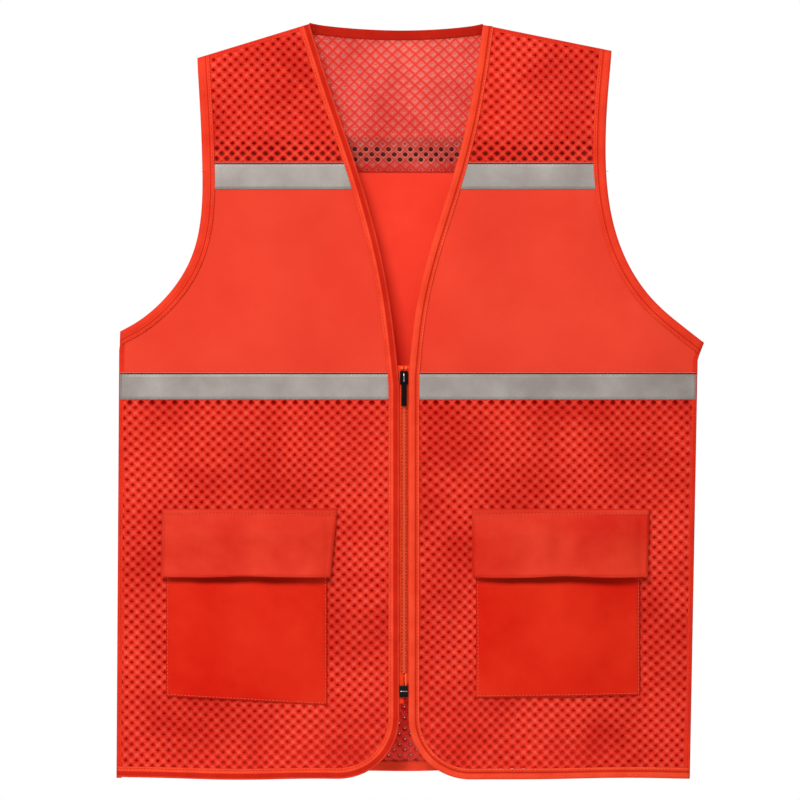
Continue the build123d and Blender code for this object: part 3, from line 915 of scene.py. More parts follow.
def front_tapes(name):
    """The reflective tapes across one front, their stitching, the pale fold above each as a painted
    highlight, and a dark groove under it as a painted shadow.
    """
    for label, (base, top) in (("chest", CHEST_TAPE), ("waist", WAIST_TAPE)):
        x, z = rows_between(name, top, base, *TAPE_INSET, 3.0)
        tape = closed_sheet(f"{name}_{label}_reflective", FRONT, x, z, *TAPE_LAYER, TAPE_GREY, TAPE_BACKING_AND_SHADOW)
        thread = tape_stitches(f"{name}_{label}", FRONT, (x[1], x[-2]), top, base)
        # The ridge's pale thread colour is a painted highlight, and the dark groove under it is a painted
        # shadow.
        ridge = np.stack([np.abs(x[0]), np.full(x.shape[1], top + RIDGE_ABOVE)], axis=1)
        fold = swept(f"{name}_{label}_tape_fold_highlight", FRONT, ridge, UP, FOLD_RIDGE, PAINTED_HIGHLIGHT_THREAD, SIGN[name])
        groove = swept(f"{name}_{label}_tape_shadow_groove", FRONT, ridge - (0, GROOVE_BELOW), UP, GROOVE,
                       TAPE_BACKING_AND_SHADOW, SIGN[name])
        pieces = (tape, thread, fold, groove)
        nodes = [f"{name}_{label}_tape"]
        if label == "waist":
            nodes.append(f"{name}_waist_tape_end")
            across_fold(name, "reflective_tape", *pieces)
        else:
            riding("vest_body", "reflective_tape", *pieces)
        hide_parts(*nodes)


ARM_TAIL = 2.0
BINDING_STITCH = 1.9
BINDING_THREAD = 1.14
BACK_BINDING_THREADS = (BINDING_THREAD, -0.92)
SEAM_THREAD = 0.80
SEAM_HEIGHTS = np.array([0.34, 0.62, 0.72, 0.70, 0.5])


def binding_profile(width, crown, crease):
    """A folded tape round a cloth's edge: rounded at the fold, creased, stitched down inside."""
    outside = [
        (width, 0.95), (width - 0.5, 1.28), (width - 1.9, 1.02), (width - 3.2, 1.34),
        (crease + 0.9, 1.36), (crease, 1.02), (crease - 0.9, 1.40 + crown * 0.3),
        (1.9, 1.45 + crown), (0.75, 1.18 + crown * 0.5), (0.1, 0.55), (-0.05, 0.0), (0.1, -0.4),
        (0.8, -0.72), (2.2, -0.80), (width - 2.5, -0.80), (width - 1.2, -0.78), (width - 1.0, -0.6),
    ]
    inner = [(width - 1.2, -0.40), (1.2, -0.36), (0.75, 0.0), (1.2, 0.5), (width - 0.2, 0.88)]
    return outside + inner


def front_binding(name):
    """The binding down the neck, the zip edge, round the corner and along the front hem."""
    path = edge_path(name)
    sign = SIGN[name]
    lift = waves(21 + sign, 6, 25, 70, 0.5)(path[:, 0], path[:, 1]) * 0.5
    band = swept(f"{name}_edge_binding", FRONT, path, sideways(path), binding_profile(BINDING, 0.35, 5.2),
                 EDGE_CLOTH[name], sign, lift)
    seam = inset(path, BINDING - BINDING_STITCH)
    row = lay_path(FRONT, seam, BINDING_THREAD + lift, sign)
    across_fold(name, "binding_cloth", band, stitches(f"{name}_edge_stitching", [row], THREAD))
    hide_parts(f"{name}_neck_edge_binding", f"{name}_front_edge_binding", f"{name}_hem_binding")


def arm_binding(name):
    """The binding round an armhole, along the front edge and along the back edge."""
    sign = SIGN[name]
    path = arm_path(name)
    path[0] += (path[0] - path[1]) / np.hypot(*(path[0] - path[1])) * ARM_TAIL
    neck, tip = np.array(HALVES[name]["shoulder"])
    across = mitred(path, np.array(HALVES[name]["side"][1]) - path[0], neck - tip)
    seam = path + across * (ARM_BINDING - BINDING_STITCH)
    profile = binding_profile(ARM_BINDING, 0.55, 6.6)
    rows = []
    for skin, label in ((FRONT, "front"), (BACK, "back")):
        lift = waves(31 + sign + skin, 6, 30, 90, 0.5)(path[:, 0], path[:, 1]) * 0.5
        band = swept(f"{name}_armhole_{label}", skin, path, across, profile, ARM_CLOTH, sign, lift)
        riding("vest_body", "binding_cloth", band)
        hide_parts(f"{name}_armhole_binding")
        rows.append(lay_path(skin, seam, BINDING_THREAD + lift, sign))
    riding("vest_body", "binding_cloth", stitches(f"{name}_armhole_stitching", rows, THREAD))


def seam_strip(name, label, corners, width):
    """A sewn seam where front and back meet: a narrow fold over the ridge, with overlocking."""
    sign = SIGN[name]
    path = bent(corners, 2.5)
    across = sideways(path)
    if across[0, 0] > 0:
        across = -across
    if label == "shoulder" and across[0, 1] > 0:
        across = -across
    w = np.array([width, width - 0.5, width * 0.5, 0.6, 0.0])
    x, z = beside(path, across, w, sign)
    crest_x, crest_z = beside(path, across, -0.55, sign)
    crest = np.stack([crest_x, np.zeros_like(crest_x), crest_z], axis=-1)
    over, below = (lay(skin, x, z, SEAM_HEIGHTS) for skin in (FRONT, BACK))
    rings = np.concatenate([over, crest, below[:, ::-1]], axis=1)
    flat = np.broadcast_arrays(travelled(path)[:, None], np.linspace(0, 2 * width, rings.shape[1]))
    strip = loft(f"{name}_{label}_seam_strip", rings, np.stack(flat, axis=-1), SEAM_CLOTH)
    seam = path + across * (width * 0.55)
    lines = [lay_path(skin, seam, SEAM_THREAD, sign) for skin in (FRONT, BACK)]
    riding("vest_body", "seam_cloth", strip, stitches(f"{name}_{label}_seam_stitching", lines, THREAD))
    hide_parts(f"{name}_{label}_seam")


# ---- Back -------------------------------------------------------------------------------------
BACK_COLUMNS = 160
BACK_HOLE = 0.3
BACK_LOWER_HOLE = 0.35
BACK_YOKE_OPEN = (10, 2.2)
BACK_LOWER_OPEN = (8, 1.6)
# Shares of painted highlight on the back nets; inside the yoke the pink round the holes is painted light,
# standing for the bright room seen through them.
BACK_HIGHLIGHTS = (1.0, 0.42, 0.0, 0.0)
YOKE_INSIDE_HIGHLIGHTS = (0.0, 0.05, 0.85, 1.0)
LOWER_INSIDE_HIGHLIGHTS = (0.3, 0.15, 0.0, 0.3)


def back_nets():
    """The mesh yoke and the mesh lower panel of the back, each with a paler inner face that has painted
    highlights of its own.
    """
    whole = back_outline(NET_INSET[1], NET_INSET[0], NET_INSET[0])

    def yoke_holes(z):
        open_rows = near_seam(z, BACK_CHEST_TAPE[0] + 9, *BACK_YOKE_OPEN, BACK_HOLE)
        return np.where(z < BACK_CHEST_TAPE[0], BACK_HOLE, open_rows)

    def lower_holes(z):
        return near_seam(z, BACK_WAIST_TAPE[0], *BACK_LOWER_OPEN, BACK_LOWER_HOLE)

    def tucked(z):
        return -0.75 * np.clip((BACK_CHEST_TAPE[0] + 2 - z) / 4, 0, 1)

    yoke, area = net("back_yoke_net", BACK, cut(whole, BACK_YOKE_Z - 3, True), CELL_X / 2, YOKE_ROW,
                     yoke_holes, MESH_CLOTH, KNIT_HIGHLIGHTS, (BACK_MESH_CLOTH, YOKE_INSIDE_HIGHLIGHTS), lift=tucked)
    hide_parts("back_yoke_mesh")
    body, area = net("back_lower_net", BACK, cut(whole, WAIST_Z, False), CELL_X / 2, LOWER_ROW,
                     lower_holes, MESH_CLOTH, BACK_HIGHLIGHTS, (BACK_MESH_CLOTH, LOWER_INSIDE_HIGHLIGHTS), rings=False)
    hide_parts("back_lower_mesh")
    riding("vest_body", "mesh_cloth", yoke, body)

    edge_x = np.linspace(-196, 196, BACK_COLUMNS)
    rows = [lay(BACK, edge_x, np.full(BACK_COLUMNS, BACK_YOKE_Z + above), height_out)
            for above, height_out in ((-2.2, -1.45), (1.0, 0.42))]
    riding("vest_body", "seam_cloth", stitches("back_yoke_seam_overlock", rows, THREAD))


def back_rows(top, base, count, w_arm):
    """A grid over the whole back between two heights, and its greatest width."""
    z = np.linspace(top, base, count)
    left = outer_x("left", z, w_arm)
    right = -outer_x("right", z, w_arm)
    x = right[:, None] + (left - right)[:, None] * np.linspace(0, 1, BACK_COLUMNS)
    return x, np.broadcast_to(z[:, None], x.shape), (left - right).max()


def back_plain():
    """The plain panel of the back, and the reflective tapes over it."""
    x, z, _ = back_rows(BACK_YOKE_Z + 4, WAIST_Z - 4, 62, 6)
    panel = closed_sheet("back_chest_cloth", BACK, x, z, -CLOTH_HALF, CLOTH_HALF, PLAIN_CLOTH)
    riding("vest_body", "plain_cloth", panel)
    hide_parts("back_chest_panel")

    for label, (base, top) in (("chest", BACK_CHEST_TAPE), ("waist", BACK_WAIST_TAPE)):
        x, z, width = back_rows(top, base, 9, TAPE_INSET[1])
        tape = closed_sheet(f"back_{label}_reflective", BACK, x, z, *TAPE_LAYER, TAPE_GREY, TAPE_BACKING_AND_SHADOW)
        thread = tape_stitches(f"back_{label}", BACK, (x[0], x[-1]), top, base)
        riding("vest_body", "reflective_tape", tape, thread)
        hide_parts(f"back_{label}_tape")


def back_bindings():
    """The bindings of the back neck and the back hem."""
    hem = line((-HALVES["right"]["side"][-1][0], BACK_HEM_Z), (HALVES["left"]["side"][-1][0], BACK_HEM_Z))
    profile = binding_profile(BINDING, 0.3, 5.2)
    for label, path, material, under in (("neck", neck_path(), NECK_CLOTH, "back_yoke_mesh"),
                                         ("hem", hem, BINDING_CLOTH, "back_lower_mesh")):
        band = swept(f"back_{label}_band", BACK, path, sideways(path), profile, material)
        seam = inset(path, BINDING - BINDING_STITCH)
        rows = [lay_path(BACK, seam, out) for out in BACK_BINDING_THREADS]
        riding("vest_body", "binding_cloth", band, stitches(f"back_{label}_stitching", rows, THREAD))
        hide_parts(f"back_{label}_binding")


# ---- Pockets ----------------------------------------------------------------------------------
BAG_LIFT = 7.4
BAG_RISE = 0.65
BAG_THICK = 0.5
BAG_FACE = BAG_RISE + BAG_THICK
BAG_HEMS = {"right": (-2.5, 5.5), "left": (4.5, 6.5)}
BAG_MARGIN = 1.8
FLAP_TAPERS = {"right": (6.5, 0.0), "left": (2.0, 2.5)}
FLAP_MARGIN = 2.0
FLAP_RIDGE = [(-2.6, 0.55), (-2.5, 1.75), (-1.6, 2.45), (0.0, 2.75), (1.8, 2.35), (3.0, 1.45), (3.3, 0.55)]
POCKET_STEP = 2


def sides_of(node):
    """How far a CAD node's two sides are from the vest's middle, the nearer side first."""
    return sorted(abs(x) for x in span(node, 0))


def share_across(node, x):
    """From 0 at a CAD node's side nearer the zip to 1 at its far side."""
    near, far = sides_of(node)
    return np.clip((np.abs(x) - near) / (far - near), 0, 1)


def arched(share):
    """From 0 at both ends of a share to 1 in its middle."""
    return np.clip(4 * share * (1 - share), 0, 1)


def fullness(name, x, z):
    """How far the full pocket would stand over the front."""
    bag = f"{name}_pocket_bag"
    base, top = span(bag, 2)
    v = np.clip((z - base) / (top - base), 0, 1)
    return BAG_LIFT * arched(share_across(bag, x)) ** 0.55 * np.clip(v * 2.6, 0, 1) ** 0.6


def bag_lift(name, x, z):
    """How far the bag's cloth stands over the front: it sinks in at its mouth, under the flap's hem."""
    u = share_across(f"{name}_pocket_bag", x)
    leftward = u if name == "left" else 1 - u
    hem = span(f"{name}_pocket_flap", 2)[0]
    sunk = np.clip(1 - (hem - z) / (8 + 10 * leftward ** 2), 0, 1)
    return fullness(name, x, z) * (1 - (0.6 + 0.3 * leftward) * sunk * sunk * (3 - 2 * sunk))


def bag_height(name, crumple, x, z, inner, hem=0.55):
    """The bag's lift with its crumples and turned hem, at points that are inner from its edge."""
    lift = bag_lift(name, x, z) + crumple(x, z) * np.clip(inner / 10, 0, 1)
    return lift + hem * np.exp(-((inner - 3.0) / 3.0) ** 2) * 0.6


def pocket_bag(name, crumple):
    """The bag of a patch pocket, with turned edges and top-stitching."""
    near, far = sides_of(f"{name}_pocket_bag")
    base, top = span(f"{name}_pocket_bag", 2)
    hem_in, hem_out = (base + above for above in BAG_HEMS[name])
    u = np.linspace(0, 1, 54)
    v = np.linspace(0, 1, 56)[:, None]
    z = top + (hem_in + (hem_out - hem_in) * u - top) * v
    x = np.broadcast_to(near + (far - near) * u, z.shape)
    inner = np.minimum(np.minimum(u, 1 - u) * (far - near), (1 - v) * (top - base))
    rise = BAG_RISE + bag_height(name, crumple, x, z, inner)
    face = rise + BAG_THICK + 0.4 * (v < 0.1)
    bag = closed_sheet(f"{name}_pocket_cloth", FRONT, x * SIGN[name], z, rise, face, POCKET_CLOTH)

    left, right = near + BAG_MARGIN, far - BAG_MARGIN
    low_in = hem_in + (hem_out - hem_in) * 0.02 + BAG_MARGIN
    seam = bent([(left, top - 2), (left, low_in), (right, hem_out + BAG_MARGIN), (right, top - 2)],
                POCKET_STEP)
    mouth = line((near + 3, top - 14), (far - 3, top - 14), POCKET_STEP)
    rows = []
    for path, inner, hem in ((seam, BAG_MARGIN, 0.55),
                             (mouth, np.minimum(mouth[:, 0] - near, far - mouth[:, 0]), 0.0)):
        over = bag_height(name, crumple, path[:, 0], path[:, 1], inner, hem)
        rows.append(lay_path(FRONT, path, BAG_FACE + over + 0.14, SIGN[name]))
    # The pale thread is a painted highlight along the bag's edges and mouth.
    riding("vest_body", "pocket_cloth", bag, stitches(f"{name}_pocket_stitching", rows, PAINTED_HIGHLIGHT_THREAD))
    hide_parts(f"{name}_pocket_bag")


def flap_height(name, crumple, x, z):
    """How far the flap stands over the front: sewn at its top, lying over the bag below."""
    top = span(f"{name}_flap_seam", 2)[1]
    over = np.clip((top - z) / 26.0, 0, 1)
    over = over * over * (3 - 2 * over)
    under = fullness(name, x, np.minimum(z, top - 30)) + 1.9
    share = share_across(f"{name}_pocket_flap", x)
    pucker = (np.sin(share * 19 + 1.1) + 0.7 * np.sin(share * 31 + 2.0)) * over * arched(share) ** 0.7
    flare = np.clip((top - z - 44) / 22, 0, 1) ** 2
    return (1.0 + (under + 0.8) * over + crumple(x * 1.3 + 90, z * 1.2) * 0.8 * over
            + pucker * 0.5 + 3.2 * flare)


def pocket_flap(name, crumple):
    """A pocket's flap, with turned hems and top-stitching, sewn down along its top."""
    sign = SIGN[name]
    near, far = sides_of(f"{name}_pocket_flap")
    low = span(f"{name}_pocket_flap", 2)[0]
    top = span(f"{name}_flap_seam", 2)[1]
    taper_in, taper_out = FLAP_TAPERS[name]
    u = np.linspace(0, 1, 62)
    v = np.linspace(0, 1, 30)[:, None]
    left, right = near + taper_in * v, far - taper_out * v
    x = left + (right - left) * u
    dip = 1.2 * np.exp(-((u - 0.52) / 0.16) ** 2)
    z = top + (low + dip - top) * v
    inner = np.minimum(np.minimum(u, 1 - u) * (far - near), (1 - v) * (top - low))
    rise = flap_height(name, crumple, x, z)
    face = rise + 0.6 + 0.35 * (inner < 6.5) * (v > 0.1)
    cover = closed_sheet(f"{name}_flap_cloth", FRONT, x * sign, z, rise, face, FLAP_CLOTH)

    hem, start = low + 2.4, top - 9
    seam = bent([(near + taper_in * 0.15 + FLAP_MARGIN, start), (near + taper_in + FLAP_MARGIN, hem),
                 (far - taper_out - FLAP_MARGIN, hem), (far - FLAP_MARGIN, start)], POCKET_STEP)
    over = flap_height(name, crumple, seam[:, 0], seam[:, 1])
    row = lay_path(FRONT, seam, over + 1.08, sign)
    thread = stitches(f"{name}_flap_stitching", [row], THREAD)
    for piece in (cover, thread):
        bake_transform(piece)
    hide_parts(f"{name}_pocket_flap")


def flap_ridge(name):
    """The soft ridge over a flap's top seam, with its stitching."""
    sign = SIGN[name]
    near, far = sides_of(f"{name}_pocket_flap")
    middle = span(f"{name}_flap_seam", 2)[1] - 3.4
    path = line((near + 0.3, middle), (far - 0.3, middle), 2.5)
    lift = waves(51 + sign, 5, 30, 80, 0.3)(path[:, 0], path[:, 1])
    ridge = swept(f"{name}_flap_ridge", FRONT, path, UP, FLAP_RIDGE, FLAP_CLOTH, sign, lift)
    row = lay(FRONT, path[:, 0] * sign, path[:, 1] - 1.2, 2.72 + lift)
    # The ridge's pale thread is a painted highlight.
    riding("vest_body", "pocket_cloth", ridge, stitches(f"{name}_flap_ridge_stitching", [row], PAINTED_HIGHLIGHT_THREAD))
    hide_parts(f"{name}_flap_seam")


def patches(name, crumple):
    """The loop patch on the bag and the hook patch under the flap."""
    def on_bag(x, z):
        return BAG_FACE + bag_lift(name, x, z) + crumple(x, z)

    def under_flap(x, z):
        return flap_height(name, crumple, x, z) - 0.55

    for label, body, seed, place in (("pocket_loop", "vest_body", 61, on_bag),
                                     ("flap_hook", f"{name}_flap", 62, under_flap)):
        backing = f"{name}_{label}_patch"
        near, far = sides_of(backing)
        low, high = span(backing, 2)
        x, z = np.meshgrid(np.linspace(near, far, 30), np.linspace(high, low, 12))
        rise = place(x, z)
        face = rise + 0.42 + np.random.default_rng(seed).uniform(0, 0.16, x.shape)
        patch = closed_sheet(f"{name}_{label}_fuzz", FRONT, x * SIGN[name], z, rise, face, HOOK_CLOTH)
        riding(body, "hook_and_loop", patch)
        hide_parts(backing)


def pocket(name):
    """A patch pocket: its bag, the flap over it and the patches that fasten the flap."""
    crumple = waves(41 + SIGN[name], 10, 26, 80, 1.3)
    pocket_bag(name, crumple)
    pocket_flap(name, crumple)
    flap_ridge(name)
    patches(name, crumple)


# ---- Zip --------------------------------------------------------------------------------------
ZIP_SLOPE = (BULGE_HEM[FRONT] - BULGE_TOP[FRONT]) / LENGTH
ZIP_NORM = math.hypot(1, ZIP_SLOPE)
ZIP_UP = np.array([0, ZIP_SLOPE, 1]) / ZIP_NORM
ZIP_OUT = np.array([0, -1, ZIP_SLOPE]) / ZIP_NORM
COIL_PITCH = 1.45
COIL_TOP = -331.0
COIL_BASE = -622.0
COIL_STEPS = 12
WIRE_R = 0.36
WIRE_ASIDE = (0.05, 0.2, 1.0)
ZIP_COLUMNS = np.array([0.35, 0.8, 2.0, 3.4, 5.0, 8.0, 12.0, 15.6, 16.0])


def on_zip(x, y, out):
    """Points in the zip's plane: across, up the coil and outwards, in millimetres."""
    x, y, out = np.broadcast_arrays(np.asarray(x, float), np.asarray(y, float), np.asarray(out, float))
    base = np.array([0, -BULGE_TOP[FRONT], 0])
    return base + x[..., None] * np.array([1, 0, 0]) + y[..., None] * ZIP_UP + out[..., None] * ZIP_OUT


def tube(name, path, radius, sides, material):
    """A round wire along a run of 3D points."""
    along = np.gradient(path, axis=0)
    along /= np.linalg.norm(along, axis=1, keepdims=True)
    across = np.cross(along, WIRE_ASIDE)
    across /= np.linalg.norm(across, axis=1, keepdims=True)
    up = np.cross(across, along)
    angle = np.arange(sides) * 2 * math.pi / sides
    ring = across[:, None] * np.cos(angle)[:, None] + up[:, None] * np.sin(angle)[:, None]
    flat = np.stack(np.broadcast_arrays(np.arange(len(path))[:, None], angle), axis=-1)
    return loft(name, path[:, None] + ring * radius, flat, material)


def zip_cloth(name):
    """The woven tape of one half of the zip, with a ridge beside the coil."""
    low, high = span(f"{name}_zip_tape", 2)
    x, y = np.meshgrid(ZIP_COLUMNS, np.linspace(high, low, 110))
    ridge = 0.22 * np.exp(-((x - 3.7) / 0.5) ** 2)
    front, rear = (on_zip(x * SIGN[name], y, out) for out in (ridge - 0.42, -0.85))
    tape = slab(f"{name}_zip_cloth", front, rear, np.stack([x, y], axis=-1), ZIP_CLOTH)
    riding(f"{name}_front_edge", "zip_tape", tape)
    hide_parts(f"{name}_zip_tape")


def zip_coil(name):
    """The nylon coil of one half, the stitching through it and the stop at its top."""
    sign = SIGN[name]
    turns = int((COIL_TOP - COIL_BASE) / COIL_PITCH)
    t = np.arange(turns * COIL_STEPS + 1) / COIL_STEPS
    angle = t * 2 * math.pi
    start = COIL_BASE + (0.0 if name == "right" else COIL_PITCH / 2)
    loop = np.abs(np.cos(angle)) ** 0.7 * np.sign(np.cos(angle))
    wire = on_zip(sign * (1.22 - 1.72 * loop), start + t * COIL_PITCH, 0.52 + 0.62 * np.sin(angle))
    coil = tube(f"{name}_coil_wire", wire, WIRE_R, 6, COIL)
    y = np.arange(COIL_BASE, COIL_TOP, 0.8)
    thread = stitches(f"{name}_coil_stitching", [on_zip(sign * x, y, 1.52) for x in (1.7, 2.5)], THREAD)
    stop = rounded_block(f"{name}_stop_clip", (0.5, 3.3), (COIL_TOP + 0.3, COIL_TOP + 3.0), (-0.5, 1.7),
                         0.5, COIL, sign)
    riding(f"{name}_front_edge", "zip_coil", coil, thread, stop)
    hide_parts(f"{name}_zip_coil")
    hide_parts(f"{name}_top_stop")


def rounded_block(name, x, y, out, radius, material, sign=1, taper=1.0):
    """A moulded block in the zip's plane with rounded edges, narrower below by taper."""
    edit = bmesh.new()
    bmesh.ops.create_cube(edit, size=1.0)
    bmesh.ops.bevel(edit, geom=edit.edges[:], offset=0.16, segments=3, affect="EDGES", profile=0.6)
    corners = np.array([v.co for v in edit.verts])
    edit.verts.ensure_lookup_table()
    faces = [tuple(v.index for v in f.verts) for f in edit.faces]
    edit.free()
    size = np.array([x[1] - x[0], abs(y[1] - y[0]), out[1] - out[0]])
    middle = np.array([sum(x) / 2, sum(y) / 2, sum(out) / 2])
    # Pull every corner region to a constant radius, whatever the block's proportions
    local = np.sign(corners) * (size / 2 - radius + (np.abs(corners) - 0.34) / 0.16 * radius)
    flat = np.abs(corners) < 0.335
    local = np.where(flat, corners / 0.34 * (size / 2 - radius), local)
    share = (local[:, 1] / size[1]) + 0.5
    local[:, 0] *= taper + (1 - taper) * share
    local += middle
    points = on_zip(local[:, 0] * sign, local[:, 1], local[:, 2])
    return build(name, points, faces, material, local[:, :2])


def extruded(name, outline, out, bevel, material, holes=()):
    """A flat metal part in the zip's plane, from an outline of (x, y), with softened edges."""
    edit = bmesh.new()
    loops = [outline, *holes]
    edges = []
    for loop in loops:
        verts = [edit.verts.new((p[0], p[1], out[0])) for p in loop]
        edges += [edit.edges.new((a, b)) for a, b in zip(verts, verts[1:] + verts[:1])]
    bmesh.ops.triangle_fill(edit, edges=edges, use_beauty=True)
    base = edit.faces[:]
    done = bmesh.ops.extrude_face_region(edit, geom=base)
    lifted = [g for g in done["geom"] if isinstance(g, bmesh.types.BMVert)]
    bmesh.ops.translate(edit, verts=lifted, vec=(0, 0, out[1] - out[0]))
    bmesh.ops.dissolve_limit(edit, angle_limit=0.02, verts=edit.verts[:], edges=edit.edges[:])
    sharp = [e for e in edit.edges if e.is_manifold and e.calc_face_angle() > 1.2]
    bmesh.ops.bevel(edit, geom=sharp, offset=bevel, segments=2, affect="EDGES", clamp_overlap=True)
    bmesh.ops.triangulate(edit, faces=[f for f in edit.faces if len(f.verts) > 4])
    local = np.array([v.co for v in edit.verts])
    faces = [tuple(v.index for v in f.verts) for f in edit.faces]
    edit.free()
    return build(name, on_zip(local[:, 0], local[:, 1], local[:, 2]), faces, material, local[:, :2],
                 smooth=False)


def rounded_outline(half_top, half_base, top, base, radius, steps=5):
    """A rounded outline that narrows from top to base."""
    corners = [(half_top, top, 0), (-half_top, top, 1), (-half_base, base, 2), (half_base, base, 3)]
    points = []
    for x, y, quarter in corners:
        cx = x - math.copysign(radius, x)
        cy = y - radius if y == top else y + radius
        for k in range(steps + 1):
            angle = (quarter + k / steps) * math.pi / 2
            points.append((cx + radius * math.cos(angle), cy + radius * math.sin(angle)))
    return points


def join(name, pieces):
    """One object from several that share a material."""
    bpy.ops.object.select_all(action="DESELECT")
    for piece in pieces:
        piece.select_set(True)
    bpy.context.view_layer.objects.active = pieces[0]
    bpy.ops.object.join()
    pieces[0].name = name
    pieces[0].data.name = name
    return pieces[0]


PLATE = (3.9, 3.2)
PLATE_CORNER = 1.3
PLATES = (("upper", (1.75, 2.7)), ("lower", (-2.2, -1.25)))
CROWN_Y = -338.5
PULL_PIVOT = -338.0
PULL_RIBS = 4


def slider():
    """The slider: two shield-shaped plates with side walls, a post and a crown."""
    low, high = span("slider_body", 2)
    top, base = high / ZIP_UP[2] - 0.1, low / ZIP_UP[2] + 0.1
    shield = rounded_outline(*PLATE, top, base, PLATE_CORNER)
    pieces = [extruded(f"slider_{label}", shield, out, 0.3, ENAMEL) for label, out in PLATES]
    for k, x in enumerate(((-3.85, -3.2), (3.2, 3.85))):
        pieces.append(rounded_block(f"slider_wall_{k}", x, (top - 1.5, base + 1), (0.3, 1.9), 0.3, ENAMEL))
    pieces.append(rounded_block("slider_post", (-0.4, 0.4), (top - 3.2, top - 0.4), (-1.4, 1.9), 0.18,
                                ENAMEL))
    arch = [(0.0, CROWN_Y + 4.3 * math.cos(angle), 2.5 + 2.7 * math.sin(angle) ** 0.6)
            for angle in (math.pi * (k / 14) for k in range(15))]
    pieces.append(tube("slider_crown", on_zip(*np.array(arch).T), 0.62, 10, POLISHED))
    body = join("slider_shell", pieces)
    riding("zip_slider", "black_slider", body)
    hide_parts("slider_body")


def slider_pull():
    """The slider's pull: a tab with an eye that hangs from the crown, and ribs to grip."""
    low = span("slider_pull", 2)[0] / ZIP_UP[2]
    outline = rounded_outline(2.5, 2.6, PULL_PIVOT + 0.55, low, 1.2)
    eye = rounded_outline(1.05, 1.05, PULL_PIVOT - 0.55, PULL_PIVOT - 7.2, 0.5)
    pieces = [extruded("pull_tab", outline, (3.15, 4.05), 0.22, ENAMEL, holes=(eye,))]
    for k in range(PULL_RIBS):
        y = PULL_PIVOT - 10.5 - 2.6 * k
        pieces.append(rounded_block(f"pull_rib_{k}", (-1.7, 1.7), (y - 0.45, y + 0.45), (3.9, 4.4), 0.2,
                                    ENAMEL))
    pull = join("slider_pull_tab", pieces)
    riding("zip_pull", "black_slider", pull)
    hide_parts("slider_pull")


BOX_X = (-4.1, 3.9)
BOX_DEPTH = (-1.7, 2.2)
BOX_LIPS = 3


def zip_foot():
    """The moulded box on the wearer's right half, and the pin of the left half inside it."""
    low, high = (v / ZIP_UP[2] for v in span("retainer_box", 2))
    walls = (("case", BOX_X, (low, high), (1.65, 2.5), 0.4),
             ("rear", BOX_X, (low, high), (-1.9, -1.15), 0.35),
             ("side", (-4.15, -3.3), (low, high), BOX_DEPTH, 0.35),
             ("floor", BOX_X, (low, low + 1.1), BOX_DEPTH, 0.35))
    pieces = [rounded_block(f"box_{label}", x, y, out, radius, PLASTIC) for label, x, y, out, radius in walls]
    for k in range(BOX_LIPS):
        y = (high - 2.2 - 3.6 * k, high - 1.4 - 3.6 * k)
        material = POLISHED if k == 1 else PLASTIC
        pieces.append(rounded_block(f"box_lip_{k}", (-3.7, 3.5), y, (2.3, 2.8), 0.22, material))
    box = join("retainer_box_case", pieces)
    riding("right_front_edge", "black_plastic", box)
    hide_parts("retainer_box")

    low, high = (v / ZIP_UP[2] for v in span("insertion_pin", 2))
    pin = rounded_block("insertion_pin_rod", (0.8, 2.6), (low, high), (-0.2, 1.3), 0.55, COIL, taper=0.8)
    riding("left_front_edge", "zip_coil", pin)
    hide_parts("insertion_pin")


# ---- Stage, in metres -------------------------------------------------------------------------
WHITE = (1, 1, 1, 1)
ROOM_LIGHT = 0.46
FLOOR_DROP = 0.28
FLOOR_RINGS = (0.8, 1.5, 2.0, 2.3)
FLOOR_SIDES = 64
VEST_MIDDLE = (0, 0, -0.36)
LAMPS = (("soft_key", (-1.0, -2.85, 1.75), 1.5, 144.0), ("soft_back", (0.7, 3.0, 0.5), 3.0, 95.0))
CAMERA = (-0.0038, -4.0, -0.360)
CAMERA_REACH = 3.985
FRAME_WIDTH = 0.768
SENSOR = 36.0


def floor_material():
    """A matt pale floor that fades out towards its rim."""
    material, tree, shader = start_material("pale_floor", 0.9)
    shader.inputs["Base Color"].default_value = (0.86, 0.86, 0.86, 1)
    place = node(tree, "ShaderNodeTexCoord").outputs["Object"]
    flat = node(tree, "ShaderNodeVectorMath", {0: place, 1: (1, 1, 0)}, operation="MULTIPLY")
    reach = node(tree, "ShaderNodeVectorMath", {0: flat.outputs[0]}, operation="LENGTH")
    fade = node(tree, "ShaderNodeMapRange", {"Value": reach.outputs["Value"], "From Min": 0.7,
                                             "From Max": 2.25}, interpolation_type="SMOOTHSTEP")
    blended(tree, fade.outputs[0], shader, node(tree, "ShaderNodeBsdfTransparent"))
    return material


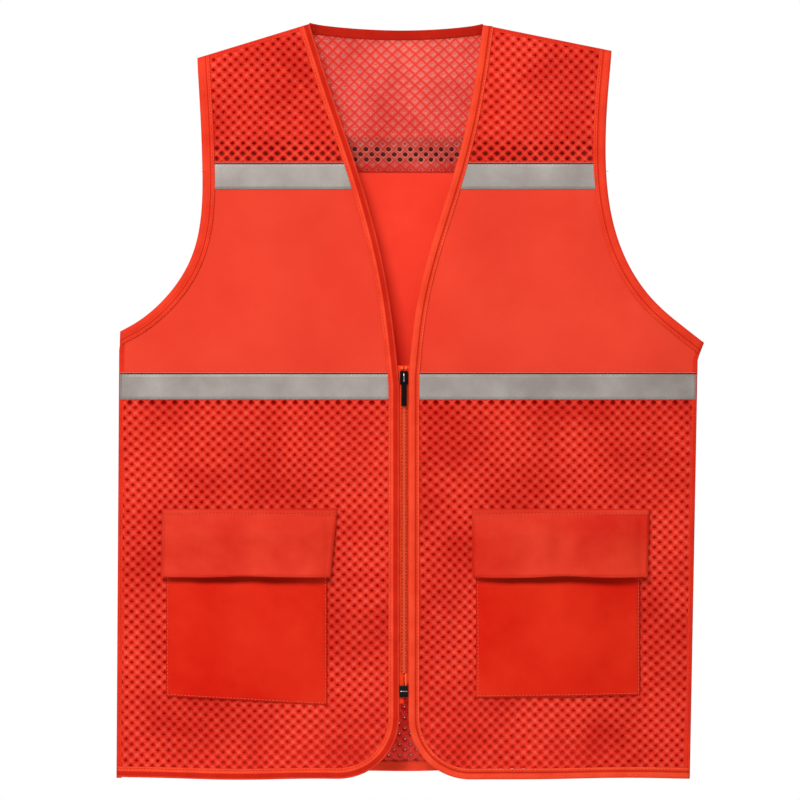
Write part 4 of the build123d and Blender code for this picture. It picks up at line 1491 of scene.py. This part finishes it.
def floor():
    """A round floor below the vest, as rings of faces round a middle point."""
    low = cad_box[0][2] - FLOOR_DROP
    points = [(0, 0, low / MM)]
    for radius in FLOOR_RINGS:
        for k in range(FLOOR_SIDES):
            angle = 2 * math.pi * k / FLOOR_SIDES
            points.append((radius * math.cos(angle) / MM, radius * math.sin(angle) / MM, low / MM))
    faces = [(0, 1 + k, 1 + (k + 1) % FLOOR_SIDES) for k in range(FLOOR_SIDES)]
    faces += grid_faces(len(FLOOR_RINGS), FLOOR_SIDES, closed=True, start=1)
    build("floor", points, faces, floor_material())


def studio():
    """A pale floor below the hanging vest, a bright room, and two large soft lights."""
    world = bpy.data.worlds.new("room")
    bpy.context.scene.world = world
    world.use_nodes = True
    tree = world.node_tree
    back = tree.nodes["Background"]
    back.inputs["Color"].default_value = WHITE
    back.inputs["Strength"].default_value = ROOM_LIGHT
    seen = node(tree, "ShaderNodeBackground", {"Color": WHITE, "Strength": 1.0})
    path = node(tree, "ShaderNodeLightPath")
    blended(tree, path.outputs["Is Camera Ray"], back, seen, "World Output")
    floor()
    for label, place, size, energy in LAMPS:
        light = bpy.data.lights.new(label, "AREA")
        light.energy = energy
        light.size = size
        lamp = bpy.data.objects.new(label, light)
        lamp.location = place
        aim = Vector(VEST_MIDDLE) - lamp.location
        lamp.rotation_euler = aim.to_track_quat("-Z", "Y").to_euler()
        bpy.context.scene.collection.objects.link(lamp)


def camera():
    """A long lens level with the middle of the vest, as wide as the photograph's frame."""
    scene = bpy.context.scene
    eye = bpy.data.cameras.new("camera")
    eye.sensor_width = SENSOR
    eye.lens = SENSOR * CAMERA_REACH / FRAME_WIDTH
    eye.clip_end = 50.0
    obj = bpy.data.objects.new("camera", eye)
    obj.location = CAMERA
    obj.rotation_euler = (math.pi / 2, 0, 0)
    scene.collection.objects.link(obj)
    scene.camera = obj
    scene.view_settings.view_transform = "Standard"
    scene.view_settings.look = "None"


camera()
studio()
for half in SIDE_NAMES:
    front_nets(half)
    front_plain(half)
    front_tapes(half)
    front_binding(half)
    arm_binding(half)
    seam_strip(half, "shoulder", HALVES[half]["shoulder"], 4.0)
    armpit = np.array(HALVES[half]["armhole"][-1])
    bend, low = np.array(HALVES[half]["side"][1:])
    seam_strip(half, "side", [armpit + 0.6 * (bend - armpit), bend, low], 4.5)
    pocket(half)
    zip_cloth(half)
    zip_coil(half)
back_nets()
back_plain()
back_bindings()
slider()
slider_pull()
zip_foot()
